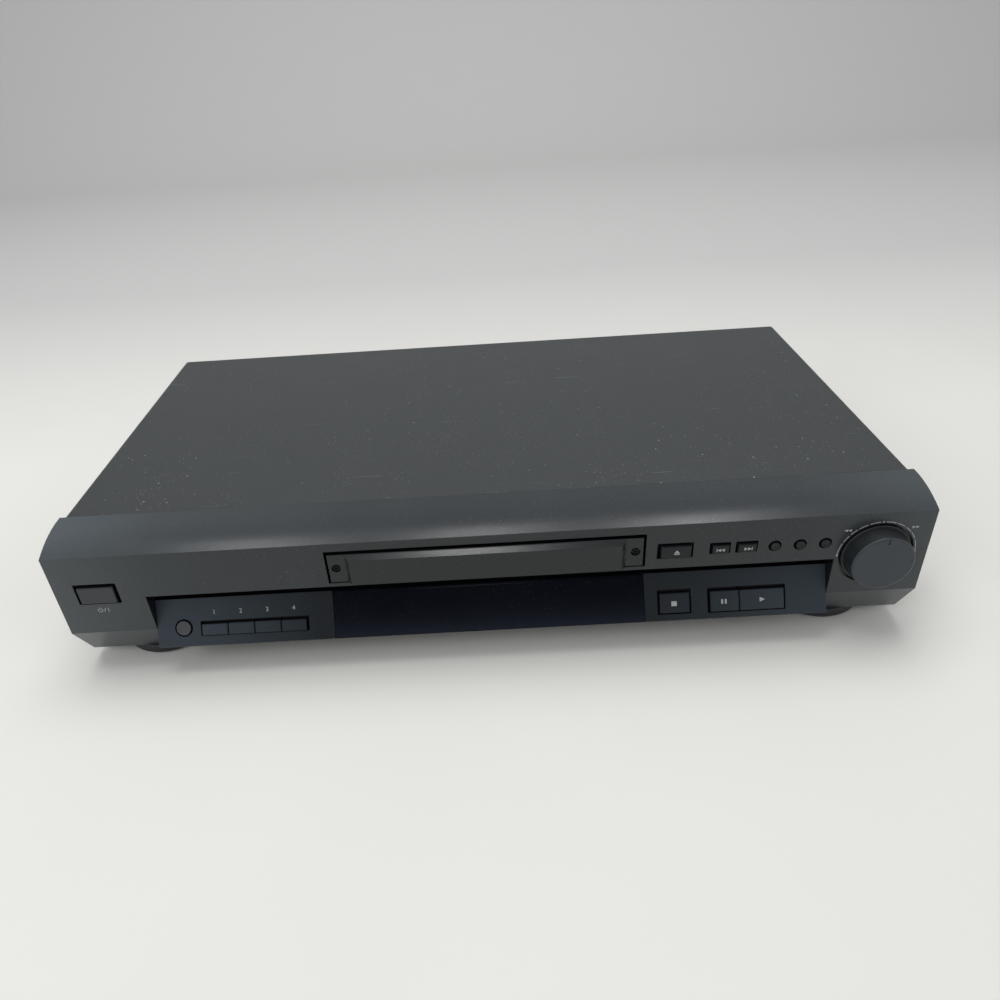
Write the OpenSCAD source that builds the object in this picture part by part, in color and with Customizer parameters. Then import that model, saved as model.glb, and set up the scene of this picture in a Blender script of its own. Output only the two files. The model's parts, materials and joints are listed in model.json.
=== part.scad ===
// Disc player for a hi-fi shelf: a low steel case, a moulded front with an arched brow,
// a motor-driven disc tray, a tilted lower control panel and a sprung shuttle dial.
// Millimetres, +Z up, the front faces -Y. The origin is on the floor, mid-width and mid-depth.

/* [Case] */
// Width of the front panel
panel_w = 430; // [420:1:440]
// Overall height, from the floor to the top of the cover
case_h = 81; // [80:0.5:90]
// Depth from the front face to the back edge of the cover
case_depth = 226.7; // [222:0.1:300]
// How far the front panel stands proud of the cover on each side
cover_inset = 1.5; // [0.5:0.1:4]
// Thickness of the steel cover
cover_t = 1; // [0.8:0.1:1.4]
// Thickness of the steel chassis and rear panel
chassis_t = 1.2; // [1:0.1:1.5]
// Outer corner radius along the cover's long top edges
cover_r = 3; // [2:0.5:5]

/* [Front panel] */
// Depth of the front panel, from its face to the cover
panel_depth = 27.3; // [26.5:0.1:32]
// Wall thickness of the moulded front panel
panel_wall = 2.4; // [2.2:0.1:2.6]
// How far the arched brow falls from the top to the face's edge
brow_drop = 6.2; // [5:0.1:7]
// Height of the lower edge of the upright face
chin_z = 27.2; // [26.8:0.1:27.6]
// How far the chin slopes back under the face
chin_depth = 11.8; // [9:0.1:12.5]
// Height of the ledge over the recess
step_z = 48.8; // [48.2:0.1:49]
// Width of the recess under the ledge
recess_w = 341; // [338:1:344]

/* [Feet] */
// Height of the feet
foot_h = 6.2; // [6:0.1:7]
// Radius of the feet
foot_r = 24.2; // [20:0.1:26]
// Sideways place of the feet
foot_x = 179.5; // [165:0.5:184]
// Distance of the front feet from the face
foot_y = 34.5; // [33:0.5:50]
// Distance of the rear feet from the back
rear_foot_y = 40; // [32:0.5:60]
// Thickness of the soft pad under each foot
pad_t = 1; // [0.6:0.1:1.6]
// Radius of the soft pad under each foot
pad_r = 17; // [12:0.5:19]

/* [Lower panel] */
// Backward tilt of the lower panel
slope = 28; // [26:0.5:29]
// Height of the lower panel's bottom lip
lip_z = 18.6; // [18.5:0.1:18.8]
// Half width of the display window
window_half = 79; // [70:0.5:80]
// Upper edge of the lower panel's face and of the window, up the slope
face_v = 15; // [14.6:0.1:15.4]
// Width of the display tube
tube_w = 140; // [100:1:150]

/* [Tray] */
// Width of the tray opening
mouth_w = 156; // [155:0.5:158]
// Height of the tray opening
mouth_h = 19.4; // [19:0.1:20]
// Thickness of the sill under the tray opening
sill_t = 1.9; // [1.6:0.1:2]
// Gap beside the tray front
tray_gap = 1.15; // [0.6:0.05:1.5]
// Gap above the tray front
tray_gap_top = 2; // [1:0.1:2.4]
// How far the tray slides out
tray_travel = 132; // [120:1:134]
// Diameter of a full-size disc pocket
disc_d = 121; // [120.5:0.1:121.5]
// Diameter of the small-disc pocket
small_disc_d = 81; // [80.5:0.1:81.5]
// Half width of the tray
tray_half = 70; // [69.5:0.1:70.2]
// Half width of the slot that the turntable and pickup rise through
slot_half = 23; // [21:0.5:25]
// How far the middle of the tray front stands out of the face
bar_reach = 1.5; // [1:0.1:2]

/* [Controls] */
// How far the button caps stand out
cap_reach = 0.8; // [0.5:0.1:1.2]
// Travel of the buttons
press = 0.6; // [0.4:0.1:0.7]
// Radius of the shuttle dial
dial_r = 16; // [15:0.1:16.5]
// How far the dial stands out of the face
dial_reach = 8.8; // [7:0.1:10]
// Sideways place of the dial
dial_x = 190.2; // [189:0.1:191]
// Height of the dial's axis
dial_z = 50.8; // [50:0.1:52]

/* [Mechanism] */
// Lift of the turntable when the disc is clamped
lift = 8; // [7.5:0.1:8.2]
// Travel of the laser pickup
pickup_travel = 33; // [30:1:35]
// Travel of the cam slider
cam_travel = 20; // [18:1:22]

/* [Connectors] */
// Outer radius of a phono jack
phono_r = 4.15; // [4.1:0.01:4.2]
// Length of a phono jack outside the rear panel
phono_len = 8.3; // [8:0.1:9]
// Spacing of the phono jacks
phono_pitch = 20; // [18:0.5:22]

/* [Hidden] */
$fn = 64;
eps = 0.01;
run_gap = 0.3;
seat_gap = 0.15;
shaft_gap = 0.05;

// Whole machine, from the dial's face to the tips of the jacks
rear_y = case_depth - cover_t / 2;
depth_all = dial_reach + rear_y + phono_len;
face_y = dial_reach - depth_all / 2;
cover_w = panel_w - 2 * cover_inset;
inner_half = cover_w / 2 - cover_t - run_gap;
floor_z = foot_h + chassis_t;
chassis_front = 16.3;

// Places beside the tray mouth are given at the built width and spread with the panel
side_k = (panel_w - mouth_w) / 274;
function spread(x) = sign(x) * (mouth_w / 2 + (abs(x) - 78) * side_k);
recess_half = spread(recess_w / 2);
dial_place = spread(dial_x);

// Front panel section
brow_flat = 1.3;
crown_y = panel_depth - brow_flat;
crown_r = (crown_y * crown_y + brow_drop * brow_drop) / (2 * brow_drop);
chin_run = chin_depth / (chin_z - foot_h);
chin_k = sqrt(1 + chin_run * chin_run);
sill_depth = 14;
cheek_x = recess_half + panel_wall / 2;

// Lower panel section: the outer plane passes through the face's lower edge
lower_t = panel_wall;
skirt_top = lip_z - 0.2;
skirt_t = 1.2;
skirt_depth = 9;
lower_top = step_z - seat_gap;
groove_floor_t = 1.6;
window_bevel_w = 1.5;
window_bevel_d = 0.5;
function plane_y(z, d = 0) = tan(slope) * (z - chin_z) + d / cos(slope);
function slope_pt(v, d) = [v * sin(slope) + d * cos(slope), chin_z + v * cos(slope) - d * sin(slope)];
function slope_depth(v, y) = (y - v * sin(slope)) / cos(slope);

// Boards behind the buttons
flange_t = 1;
flange_rim = 0.6;
board_depth = 9.5;
board_t = 1.6;
switch_w = 6;
switch_h = 3.4;
plunger_h = 0.9;
plunger_r = 1.6;
stem_r = 1.8;
display_board_w = 2 * spread(165);
display_board_v = [-3, 14];
control_board_x = [spread(82.5), spread(210)];
control_board_z = [51.3, case_h - 9];
dial_board_x = spread(174);
dial_board_z = 38;
power_board_x = [spread(-210), spread(-177)];
power_board_z = [40, 66];

// Buttons: name, sideways place, height (or place up the slope), opening width and height,
// shift of the cap inside the opening, cap width and height
BUTTONS_UPPER = spread_buttons([
    ["power_button", -193.75, 52.1, 21.5, 12.6, 0, 18.6, 10.2],
    ["eject_button", 92.2, 59.3, 17.6, 9.2, 0, 15.4, 7.3],
    ["skip_back_button", 113.85, 59.35, 10.1, 6.7, 0, 8.6, 5.2],
    ["skip_forward_button", 126.65, 59.35, 10.7, 6.7, 0, 9.2, 5.2]
]);
BUTTONS_LOWER = spread_buttons([
    ["stop_button", 94.05, -0.25, 17.1, 12.9, 0, 15.1, 10.9],
    ["pause_button", 118.75, -0.5, 15.9, 13, 0.35, 14.7, 11.1],
    ["play_button", 138.35, -0.5, 23.3, 13, -0.35, 22.1, 11.1]
]);
function spread_buttons(list) =
    [for (b = list) [b[0], spread(b[1]), b[2], b[3] * side_k, b[4], b[5] * side_k, b[6] * side_k, b[7]]];
BUTTONS_ROUND = [
    ["random_button", spread(140.3)],
    ["repeat_button", spread(152.4)],
    ["ab_repeat_button", spread(164.5)]
];
round_z = 58.9;
round_open_r = 3.15;
round_cap_r = 2.6;
memory_x = spread(-156.7);
memory_v = -0.2;
memory_open_r = 4.6;
memory_cap_r = 4;
sound_x = spread(-120);
sound_v = -0.95;
sound_w = 56 * side_k;
sound_h = 7.9;
sound_count = 4;
sound_pitch = 13.7 * side_k;
SOUND = ["sound_button_1", "sound_button_2", "sound_button_3", "sound_button_4"];
split_gap = 0.5;

// Tray and its front
mouth_z = step_z + sill_t;
mouth_top = mouth_z + mouth_h;
front_half = mouth_w / 2 - tray_gap;
front_z = mouth_z + run_gap;
front_top = mouth_top - tray_gap_top;
front_y = 0.5;
front_t = 2.5;
tray_y = front_y + front_t;
tray_end = tray_y + tray_travel + 28;
disc_y = tray_y + 68;
tray_z = mouth_z + 2.5;
tray_top = tray_z + 9.5;
deck_t = 4.4;
deck_z = tray_top - deck_t;
rail_t = 4;
wall_front = 2.5;
bar_half = 68.4;
bar_bevel = 2.8;
screw_x = 73.1;
screw_z = (front_z + front_top) / 2;

// Loader
loader_z = tray_z - 15.2;
loader_t = 2;
deck_top = loader_z + loader_t;
wall_x = tray_half + 0.6;
wall_t = 2.5;
wall_top = tray_top + 3.3;
loader_y0 = sill_depth + 0.5;
loader_y1 = tray_end + 27;
ledge_in = 8.6;
leg_r = 5;
leg_x = 66;
leg_y = 28;
leg_end = loader_y1 - 8;

// Loading gears
gear_m = 1;
rack_x = 58;
teeth_pinion = 18;
teeth_wheel = 28;
teeth_small = 12;
pinion_x = rack_x - gear_m * teeth_pinion / 2;
gear_y = 32;
small_x = pinion_x - gear_m * (teeth_wheel + teeth_small) / 2;
motor_x = -8;
gear_axle_r = 1.5;
gear_z = deck_top + 1;
gear_t = 3;
pulley_z = gear_z + gear_t + 1;
pulley_h = 4;
pulley_r = 13;
motor_pulley_r = 3.2;
groove = 1;
belt_t = 1.2;
motor_r = 12;
motor_h = 16;
motor_shaft_r = 1;
pinion_z = tray_z + 0.5;
pinion_h = deck_z - pinion_z - 0.5;

// Traverse: modelled level, then dropped about its rear pivot
pickup_y = disc_y + 17.5;
pickup_len = 24;
lens_y = 8;
lens_holder_r = 7.5;
beam_w = 4;
pivot_y = pickup_y + pickup_len + pickup_travel + beam_w + 0.5;
pivot_z = loader_z + 9.5;
drop_angle = asin(lift / (pivot_y - disc_y));
frame_half = 42;
frame_t = 3;
frame_z = pivot_z - frame_t / 2;
frame_y0 = disc_y - 14;
frame_y1 = pivot_y + 4;
pivot_r = 2;
cam_y = frame_y0 - 7.7;
cam_t = 2.2;
cam_pin_x = 28;
cam_pin_r = 1.5;
cam_slot_r = cam_pin_r + 0.45;
cam_drop = (pivot_y - cam_y - cam_t / 2) * sin(drop_angle);
cam_z0 = pivot_z - cam_drop - 4.5;
cam_z1 = pivot_z + 4;
seat_z = tray_top - 0.7;
hub_r = 7.4;
table_r = 15;
rod_x = 20;
rod_r = 1.5;
screw_drive_x = -31;
spindle_r = 11;

// Clamp
bridge_t = 1.2;
bridge_y0 = disc_y - 23;
bridge_y1 = disc_y + 23;
clamp_hole_r = 14;
clamp_r = 12.5;
clamp_flange_r = 17;

// Boards on the chassis
standoff_h = 7;
standoff_r = 3.5;
board_z = floor_z + standoff_h;
board_inner_x = 85;
board_outer_x = inner_half - 7.2;
board_y0 = 62;
board_y1 = rear_y - chassis_t - 3;
standoff_edge = 8;

// Connectors on the rear
optical_x = inner_half - 25.2;
svideo_x = optical_x - 22;
phono_x = svideo_x - 65;
phono_rows = 2;
phono_cols = 3;
phono_z = 30;
block_depth = 12;
block_margin = 9;
svideo_r = 6.3;
optical_w = 10;
socket_z = phono_z + phono_pitch / 2;
inlet_x = 32.2 - inner_half;
inlet_z = 38;
inlet_w = 30;
inlet_h = 18;
inlet_pin_r = 1.18;
inlet_pitch = 8.6;
inlet_depth = 11;
inlet_body_depth = 18;

CASE_COLOR = "#4b4e50";
PANEL_COLOR = "#3c4043";
LOWER_COLOR = "#2c3236";
DARK_COLOR = "#17191c";
STEEL_COLOR = "#b9bcbe";
BOARD_COLOR = "#3d6b45";
MOULD_COLOR = "#26282a";
INSULATOR_COLOR = "#202224";

// ---- frames of reference -------------------------------------------------------------

// Everything below is drawn with y measured back from the front face
module in_place() {
    translate([0, face_y, 0]) children();
}

// A section drawn in (y, z), pulled w along x about the middle
module along_x(w) {
    rotate([90, 0, 90]) linear_extrude(w, center = true) children();
}

// Local x along the width, local y up, local z out of the upright face
module on_face(x, z) {
    translate([x, 0, z]) rotate([90, 0, 0]) children();
}

// The same on the lower panel: local y runs up the slope, local z out of it
module on_slope(x, v) {
    translate([0, 0, chin_z]) rotate([90 - slope, 0, 0]) translate([x, v, 0]) children();
}

// The same on the rear panel: local z points out of the back
module on_rear(x, z) {
    translate([x, rear_y, z]) rotate([-90, 0, 0]) children();
}

module box(x, y, z) {
    translate([x[0], y[0], z[0]]) cube([x[1] - x[0], y[1] - y[0], z[1] - z[0]]);
}

// Upright tube with a true bore
module tube(r, bore, h) {
    difference() {
        cylinder(r = r, h = h);
        translate([0, 0, -1]) cylinder(r = bore, h = h + 2);
    }
}

// Flat plate with round corners, centred in x and y
module round_plate(w, h, r, t) {
    cube_w = w - 2 * r;
    cube_h = h - 2 * r;
    translate([-w / 2, -cube_h / 2, 0]) cube([w, cube_h, t]);
    translate([-cube_w / 2, -h / 2, 0]) cube([cube_w, h, t]);
    for (sx = [-1, 1], sy = [-1, 1])
        translate([sx * cube_w / 2, sy * cube_h / 2, 0]) cylinder(r = r, h = t, $fn = 32);
}

// ---- gears ---------------------------------------------------------------------------

tooth_half = 0.58 * gear_m;
tooth_tip = 0.75 * gear_m;
tooth_root = 1.05 * gear_m;
tooth_tan = tan(20);
tip_half = tooth_half - tooth_tip * tooth_tan;
root_half = tooth_half + tooth_root * tooth_tan;

function polar(r, a) = [r * cos(a), r * sin(a)];

// Spur wheel outline: a tooth points along +x when turn is 0
function wheel_points(n, turn = 0) =
    let (rp = gear_m * n / 2, ro = rp + tooth_tip, ri = rp - tooth_root,
         a_tip = asin(tip_half / ro), a_root = asin(root_half / ri))
    [for (i = [0:n - 1], p = [[ri, -a_root], [ro, -a_tip], [ro, a_tip], [ri, a_root]])
        polar(p[0], turn + i * 360 / n + p[1])];

// Rack outline in (x, y): teeth point to -x, a gap is centred on y = 0
function rack_points(y0, y1, back) =
    let (p = PI * gear_m, n0 = ceil(y0 / p - 0.5 + 0.35), n1 = floor(y1 / p - 0.5 - 0.35))
    concat([[back, y0], [tooth_root, y0]],
        [for (i = [n0:n1], q = [[tooth_root, -root_half], [-tooth_tip, -tip_half],
                                [-tooth_tip, tip_half], [tooth_root, root_half]])
            [q[0], (i + 0.5) * p + q[1]]],
        [[tooth_root, y1], [back, y1]]);

// ---- case ----------------------------------------------------------------------------

module base_chassis() {
    flange_h = 12;
    color(STEEL_COLOR) in_place() {
        difference() {
            box([-inner_half, inner_half], [chassis_front, rear_y - chassis_t], [foot_h, floor_z]);
            for (i = [0:8], s = [-1, 1])
                translate([s * (100 + 9 * i), 140, foot_h - 1]) round_slot(3, 40, chassis_t + 2);
            for (p = FEET)
                translate([p[1], p[2], foot_h - 1]) cylinder(r = 1.7, h = chassis_t + 2, $fn = 32);
        }
        for (s = [-1, 1]) difference() {
            translate([s * (inner_half - chassis_t / 2) - chassis_t / 2, chassis_front + 14, floor_z - eps])
                cube([chassis_t, rear_y - chassis_front - 18, flange_h]);
            for (p = SIDE_SCREWS)
                translate([s * inner_half, p[0], p[1]]) rotate([0, 90, 0])
                    cylinder(r = screw_shank_r + 0.05, h = 3 * chassis_t, center = true, $fn = 24);
        }
        box([-inner_half + 20, inner_half - 20], [chassis_front + 0.7, chassis_front + 0.7 + chassis_t],
            [floor_z, floor_z + flange_h]);
        for (s = [-1, 1], x = [board_inner_x + standoff_edge, board_outer_x - standoff_edge],
             y = [board_y0 + standoff_edge, board_y1 - standoff_edge])
            translate([s * x, y, floor_z]) cylinder(r = standoff_r, h = standoff_h, $fn = 32);
    }
}

// Slot along y with round ends
module round_slot(w, len, h) {
    translate([-w / 2, -(len - w) / 2, 0]) cube([w, len - w, h]);
    for (s = [-1, 1])
        translate([0, s * (len - w) / 2, 0]) cylinder(r = w / 2, h = h, $fn = 24);
}

module cover_section(inset) {
    half = cover_w / 2 - inset;
    r = cover_r - inset;
    top = case_h - inset;
    translate([-half, foot_h]) square([2 * half, top - r - foot_h]);
    translate([-half + r, foot_h]) square([2 * (half - r), top - foot_h]);
    for (s = [-1, 1])
        translate([s * (half - r), top - r]) circle(r);
}

module top_cover() {
    y0 = panel_depth + seat_gap;
    y1 = case_depth;
    screw_hole_r = 1.7;
    color(CASE_COLOR) in_place() difference() {
        translate([0, y1, 0]) rotate([90, 0, 0]) linear_extrude(y1 - y0) cover_section(0);
        translate([0, y1 + 1, 0]) rotate([90, 0, 0]) linear_extrude(y1 - y0 + 2) cover_section(cover_t);
        translate([-cover_w / 2 + cover_t, y0 - 1, foot_h - 1])
            cube([cover_w - 2 * cover_t, y1 - y0 + 2, cover_r + 2]);
        for (p = SIDE_SCREWS, s = [-1, 1])
            translate([s * (cover_w / 2 + 1), p[0], p[1]]) rotate([0, -s * 90, 0])
                cylinder(r = screw_hole_r, h = cover_t + 2, $fn = 32);
    }
}

SIDE_SCREWS = [[70, floor_z + 7], [rear_y - 30, floor_z + 7]];
REAR_SCREWS = [42.2 - inner_half, 0, inner_half - 42.2];
rear_screw_z = case_h - 9;
screw_shank_r = 1.4;

module cover_screws() {
    color(DARK_COLOR) in_place() {
        for (p = SIDE_SCREWS, s = [-1, 1])
            translate([s * cover_w / 2, p[0], p[1]]) rotate([0, s * 90, 0])
                pan_screw(3.2, 1.3, screw_shank_r, 4);
        for (x = REAR_SCREWS)
            on_rear(x, rear_screw_z) pan_screw(3.2, 1.3, screw_shank_r, 4);
    }
}

// Pan-head screw: the head stands on z = 0 and the shank runs down
module pan_screw(head_r, head_h, shank_r, shank_len) {
    difference() {
        union() {
            cylinder(r = head_r, h = head_h, $fn = 32);
            translate([0, 0, -shank_len]) cylinder(r = shank_r, h = shank_len, $fn = 24);
        }
        for (a = [0, 90])
            rotate([0, 0, a]) translate([-head_r * 0.55, -0.35, head_h - 0.7])
                cube([head_r * 1.1, 0.7, 1]);
    }
}

module rear_panel() {
    color(STEEL_COLOR) in_place() difference() {
        translate([0, rear_y, 0]) rotate([90, 0, 0])
            linear_extrude(chassis_t) cover_section(cover_t + run_gap);
        box([block_x[0] + window_lap, block_x[1] - window_lap], [rear_y - chassis_t - 1, rear_y + 1],
            [block_z[0] + window_lap, block_z[1] - window_lap]);
        on_rear(inlet_x, inlet_z) translate([-inlet_w / 2 + 2 - 0.3, -inlet_h / 2 + 2 - 0.3, -chassis_t - 1])
            cube([inlet_w - 4 + 0.6, inlet_h - 4 + 0.6, chassis_t + 2]);
        for (x = REAR_SCREWS)
            on_rear(x, rear_screw_z) translate([0, 0, -chassis_t - 1])
                cylinder(r = 1.7, h = chassis_t + 2, $fn = 32);
        for (i = [0:11], z = [24, 44])
            on_rear(-120 + 8 * i, z) translate([-1.5, -7, -chassis_t - 1]) cube([3, 14, chassis_t + 2]);
    }
}

// ---- front ---------------------------------------------------------------------------

// Outer section of the moulded front, or its hollow when w is the wall
module panel_section(w) {
    intersection() {
        polygon([
            [(chin_z - foot_h - w) * chin_run + w * chin_k, foot_h + w],
            [panel_depth + w, foot_h + w],
            [panel_depth + w, case_h + 1],
            [w, case_h + 1],
            [w, chin_z + w * (chin_k - 1) / chin_run]
        ]);
        union() {
            translate([crown_y, case_h - crown_r]) circle(crown_r - w, $fn = 180);
            translate([crown_y, 0]) square([panel_depth, case_h - w]);
        }
    }
}

module front_panel() {
    color(PANEL_COLOR) in_place() difference() {
        union() {
            difference() {
                along_x(panel_w) panel_section(0);
                along_x(panel_w - 2 * panel_wall) panel_section(panel_wall);
                translate([-panel_w, chassis_front - run_gap, 0])
                    cube([2 * panel_w, panel_depth, foot_h + panel_wall + 1]);
                box([-recess_half, recess_half], [-1, panel_depth + 1], [lip_z - skirt_t - seat_gap, step_z]);
            }
            box([-recess_half - panel_wall, recess_half + panel_wall], [0, sill_depth], [step_z, mouth_z]);
            for (s = [-1, 1])
                translate([s * cheek_x, 0, 0]) along_x(panel_wall) cheek_section();
            brow_ribs();
        }
        box([-mouth_w / 2, mouth_w / 2], [-1, panel_depth + 1], [mouth_z, mouth_top]);
        upper_openings();
        on_face(dial_place, dial_z) {
            translate([0, 0, -dial_groove_d]) cylinder(r = dial_r + dial_groove_w, h = 3, $fn = 96);
            translate([0, 0, -panel_wall - 1]) cylinder(r = 4.2, h = panel_wall + 2);
        }
    }
}

module cheek_section() {
    intersection() {
        panel_section(0);
        square([sill_depth, mouth_z]);
    }
}

// Stiffening ribs under the brow
module brow_ribs() {
    rib_x = [for (x = [-190, -150, -110, 110, 150]) spread(x)];
    for (x = rib_x)
        translate([x, 0, 0]) along_x(1.6) intersection() {
            panel_section(0);
            translate([1, case_h - 7.5]) square([panel_depth - 1, 8]);
        }
}

module upper_openings() {
    depth = panel_wall + 2;
    for (b = BUTTONS_UPPER)
        on_face(b[1], b[2]) translate([0, 0, -depth + 1]) round_plate(b[3], b[4], 0.6, depth);
    for (b = BUTTONS_ROUND)
        on_face(b[1], round_z) translate([0, 0, -depth + 1]) cylinder(r = round_open_r, h = depth);
}

// The tilted face, with a dark groove between its top and the ledge
module lower_section() {
    wall_y = plane_y(lower_top);
    floor_v = face_v - groove_floor_t;
    polygon([
        [plane_y(lip_z), lip_z],
        slope_pt(face_v, 0),
        slope_pt(face_v, slope_depth(face_v, wall_y)),
        [wall_y, lower_top],
        [wall_y + lower_t, lower_top],
        slope_pt(floor_v, slope_depth(floor_v, wall_y + lower_t)),
        slope_pt(floor_v, lower_t),
        [plane_y(skirt_top, lower_t), skirt_top],
        [skirt_depth, skirt_top],
        [skirt_depth, lip_z - skirt_t],
        [plane_y(lip_z) + 1, lip_z - skirt_t]
    ]);
}

// Section of the display window, bevelled along its top
module window_section() {
    z0 = skirt_top + seat_gap;
    out = 0.15;
    polygon([
        [plane_y(z0, out), z0],
        slope_pt(face_v - window_bevel_w, out),
        slope_pt(face_v, out + window_bevel_d),
        slope_pt(face_v, lower_t),
        [plane_y(z0, lower_t), z0]
    ]);
}

// Section of the window's pocket, open at its top
module window_pocket() {
    out = -3;
    inn = lower_t + seat_gap;
    polygon([
        [plane_y(skirt_top, out), skirt_top],
        slope_pt(face_v + 1, out),
        slope_pt(face_v + 1, inn),
        [plane_y(skirt_top, inn), skirt_top]
    ]);
}

module lower_panel() {
    depth = lower_t + 2;
    color(LOWER_COLOR) in_place() difference() {
        along_x(2 * (recess_half - seat_gap)) lower_section();
        along_x(2 * window_half + 2 * seat_gap) window_pocket();
        for (b = BUTTONS_LOWER)
            on_slope(b[1], b[2]) translate([0, 0, -depth + 1]) round_plate(b[3], b[4], 0.5, depth);
        on_slope((BUTTONS_LOWER[1][1] + BUTTONS_LOWER[2][1]) / 2, BUTTONS_LOWER[1][2])
            translate([-6, -BUTTONS_LOWER[1][4] / 2, -depth + 1]) cube([12, BUTTONS_LOWER[1][4], depth]);
        on_slope(sound_x, sound_v) translate([0, 0, -depth + 1]) round_plate(sound_w, sound_h, 0.5, depth);
        on_slope(memory_x, memory_v) translate([0, 0, -depth + 1]) cylinder(r = memory_open_r, h = depth);
    }
}

module display_window() {
    color(DARK_COLOR) in_place() along_x(2 * window_half) window_section();
}

// ---- feet ----------------------------------------------------------------------------

FEET = [
    ["foot_front_left", -spread(foot_x), foot_y],
    ["foot_front_right", spread(foot_x), foot_y],
    ["foot_rear_left", -spread(foot_x), rear_y - rear_foot_y],
    ["foot_rear_right", spread(foot_x), rear_y - rear_foot_y]
];

// Hollow round foot with a spigot into the chassis, and a pocket for its soft pad
module foot(x, y) {
    edge = 1.2;
    color(DARK_COLOR) in_place() translate([x, y, 0]) {
        rotate_extrude($fn = 96) difference() {
            polygon([
                [0, pad_t / 2], [foot_r - edge, pad_t / 2], [foot_r, pad_t / 2 + edge],
                [foot_r, foot_h - 1.4], [foot_r - 0.6, foot_h], [0, foot_h]
            ]);
            translate([0, -1]) square([pad_r + seat_gap, 1 + pad_t]);
        }
        translate([0, 0, foot_h]) cylinder(r = 1.6, h = chassis_t, $fn = 32);
    }
}

module foot_pads() {
    color(MOULD_COLOR) in_place() for (p = FEET)
        translate([p[1], p[2], 0]) cylinder(r = pad_r, h = pad_t);
}

// ---- displays and boards -------------------------------------------------------------

module display_tube() {
    v0 = -2.6;
    v1 = 11.4;
    top_d = lower_t + 0.8;
    color(MOULD_COLOR) in_place() on_slope(0, 0) translate([-tube_w / 2, v0, -board_depth])
        cube([tube_w, v1 - v0, board_depth - top_d]);
}

module tact_switch() {
    translate([-switch_w / 2, -switch_w / 2, 0]) cube([switch_w, switch_w, switch_h]);
    cylinder(r = plunger_r, h = switch_h + plunger_h, $fn = 32);
}

module display_board() {
    color(BOARD_COLOR) in_place() {
        on_slope(0, 0) translate([-display_board_w / 2, display_board_v[0], -board_depth - board_t])
            cube([display_board_w, display_board_v[1] - display_board_v[0], board_t]);
        for (x = concat([for (b = BUTTONS_LOWER) b[1]], [memory_x],
                        [for (i = [0:sound_count - 1]) sound_place(i)]))
            on_slope(x, 0.5) translate([0, 0, -board_depth]) tact_switch();
    }
}

module control_board() {
    color(BOARD_COLOR) in_place() {
        box(control_board_x, [board_depth, board_depth + board_t], control_board_z);
        box([dial_board_x, control_board_x[1]], [board_depth, board_depth + board_t],
            [dial_board_z, control_board_z[0]]);
        for (p = concat([for (b = BUTTONS_UPPER) if (b[1] > 0) [b[1], b[2]]],
                        [for (b = BUTTONS_ROUND) [b[1], round_z]]))
            on_face(p[0], p[1]) translate([0, 0, -board_depth]) tact_switch();
    }
}

module power_switch_board() {
    b = BUTTONS_UPPER[0];
    color(BOARD_COLOR) in_place() {
        box(power_board_x, [board_depth, board_depth + board_t], power_board_z);
        on_face(b[1], b[2]) translate([0, 0, -board_depth]) tact_switch();
    }
}

encoder_w = 12;
shaft_r = 3;
dial_groove_w = 1.9;
dial_groove_d = 1.6;
bush_r = 3.6;
bush_end = panel_wall + 0.5;

module shuttle_encoder() {
    color(STEEL_COLOR) in_place() on_face(dial_place, dial_z) difference() {
        union() {
            translate([-encoder_w / 2, -encoder_w / 2, -board_depth]) cube([encoder_w, encoder_w, 4.5]);
            translate([0, 0, -board_depth]) cylinder(r = bush_r, h = board_depth - bush_end + 1.2);
        }
        translate([0, 0, -board_depth + 1]) cylinder(r = shaft_r + shaft_gap, h = board_depth + 2);
    }
}

module board_shape(s) {
    x = s < 0 ? [-board_outer_x, -board_inner_x] : [board_inner_x, board_outer_x];
    box(x, [board_y0, board_y1], [board_z, board_z + board_t]);
}

module main_board() {
    color(BOARD_COLOR) in_place() board_shape(1);
}

module power_supply_board() {
    color("#8a6d3b") in_place() board_shape(-1);
}

// Place on a board, as shares of its width and depth
function board_place(u, v) = [
    board_inner_x + u * (board_outer_x - board_inner_x),
    board_y0 + v * (board_y1 - board_y0),
    board_z + board_t
];

module main_chips() {
    color(MOULD_COLOR) in_place() {
        for (c = [[0.33, 0.36, 28, 28], [0.67, 0.36, 20, 20], [0.33, 0.64, 14, 24], [0.69, 0.64, 24, 14],
                  [0.88, 0.14, 10, 18]])
            translate(board_place(c[0], c[1])) translate([-c[2] / 2, -c[3] / 2, 0]) cube([c[2], c[3], 2.4]);
        for (i = [0:6])
            translate(board_place(0.12 + 0.12 * i, 0.8)) cylinder(r = 3, h = 9, $fn = 24);
        translate(board_place(0.1, 0.02)) cube([0.78 * (board_outer_x - board_inner_x), 5, 6]);
    }
}

module supply_parts() {
    sink_h = 34;
    color(MOULD_COLOR) in_place() mirror([1, 0, 0]) {
        translate(board_place(0.57, 0.4)) translate([-17, -16, 0]) cube([34, 32, 30]);
        for (c = [[0.88, 0.18, 9, 30], [0.62, 0.15, 6, 22], [0.46, 0.15, 6, 22], [0.29, 0.61, 5, 18],
                  [0.17, 0.61, 5, 18], [0.22, 0.77, 5, 20]])
            translate(board_place(c[0], c[1])) cylinder(r = c[2], h = c[3]);
        translate(board_place(0.28, 0.2)) {
            cube([3, 40, sink_h]);
            for (i = [0:5])
                translate([-8, 2 + 7 * i, 6]) cube([8 + eps, 1.5, sink_h - 6]);
        }
    }
}

// ---- connectors ----------------------------------------------------------------------

PHONO = [
    for (i = [0:phono_cols - 1], j = [0:phono_rows - 1])
        [phono_x + i * phono_pitch, phono_z + j * phono_pitch]
];
block_back = chassis_t;
insulator_r = phono_r - 0.85;
pin_bore_r = 1.65;

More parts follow.
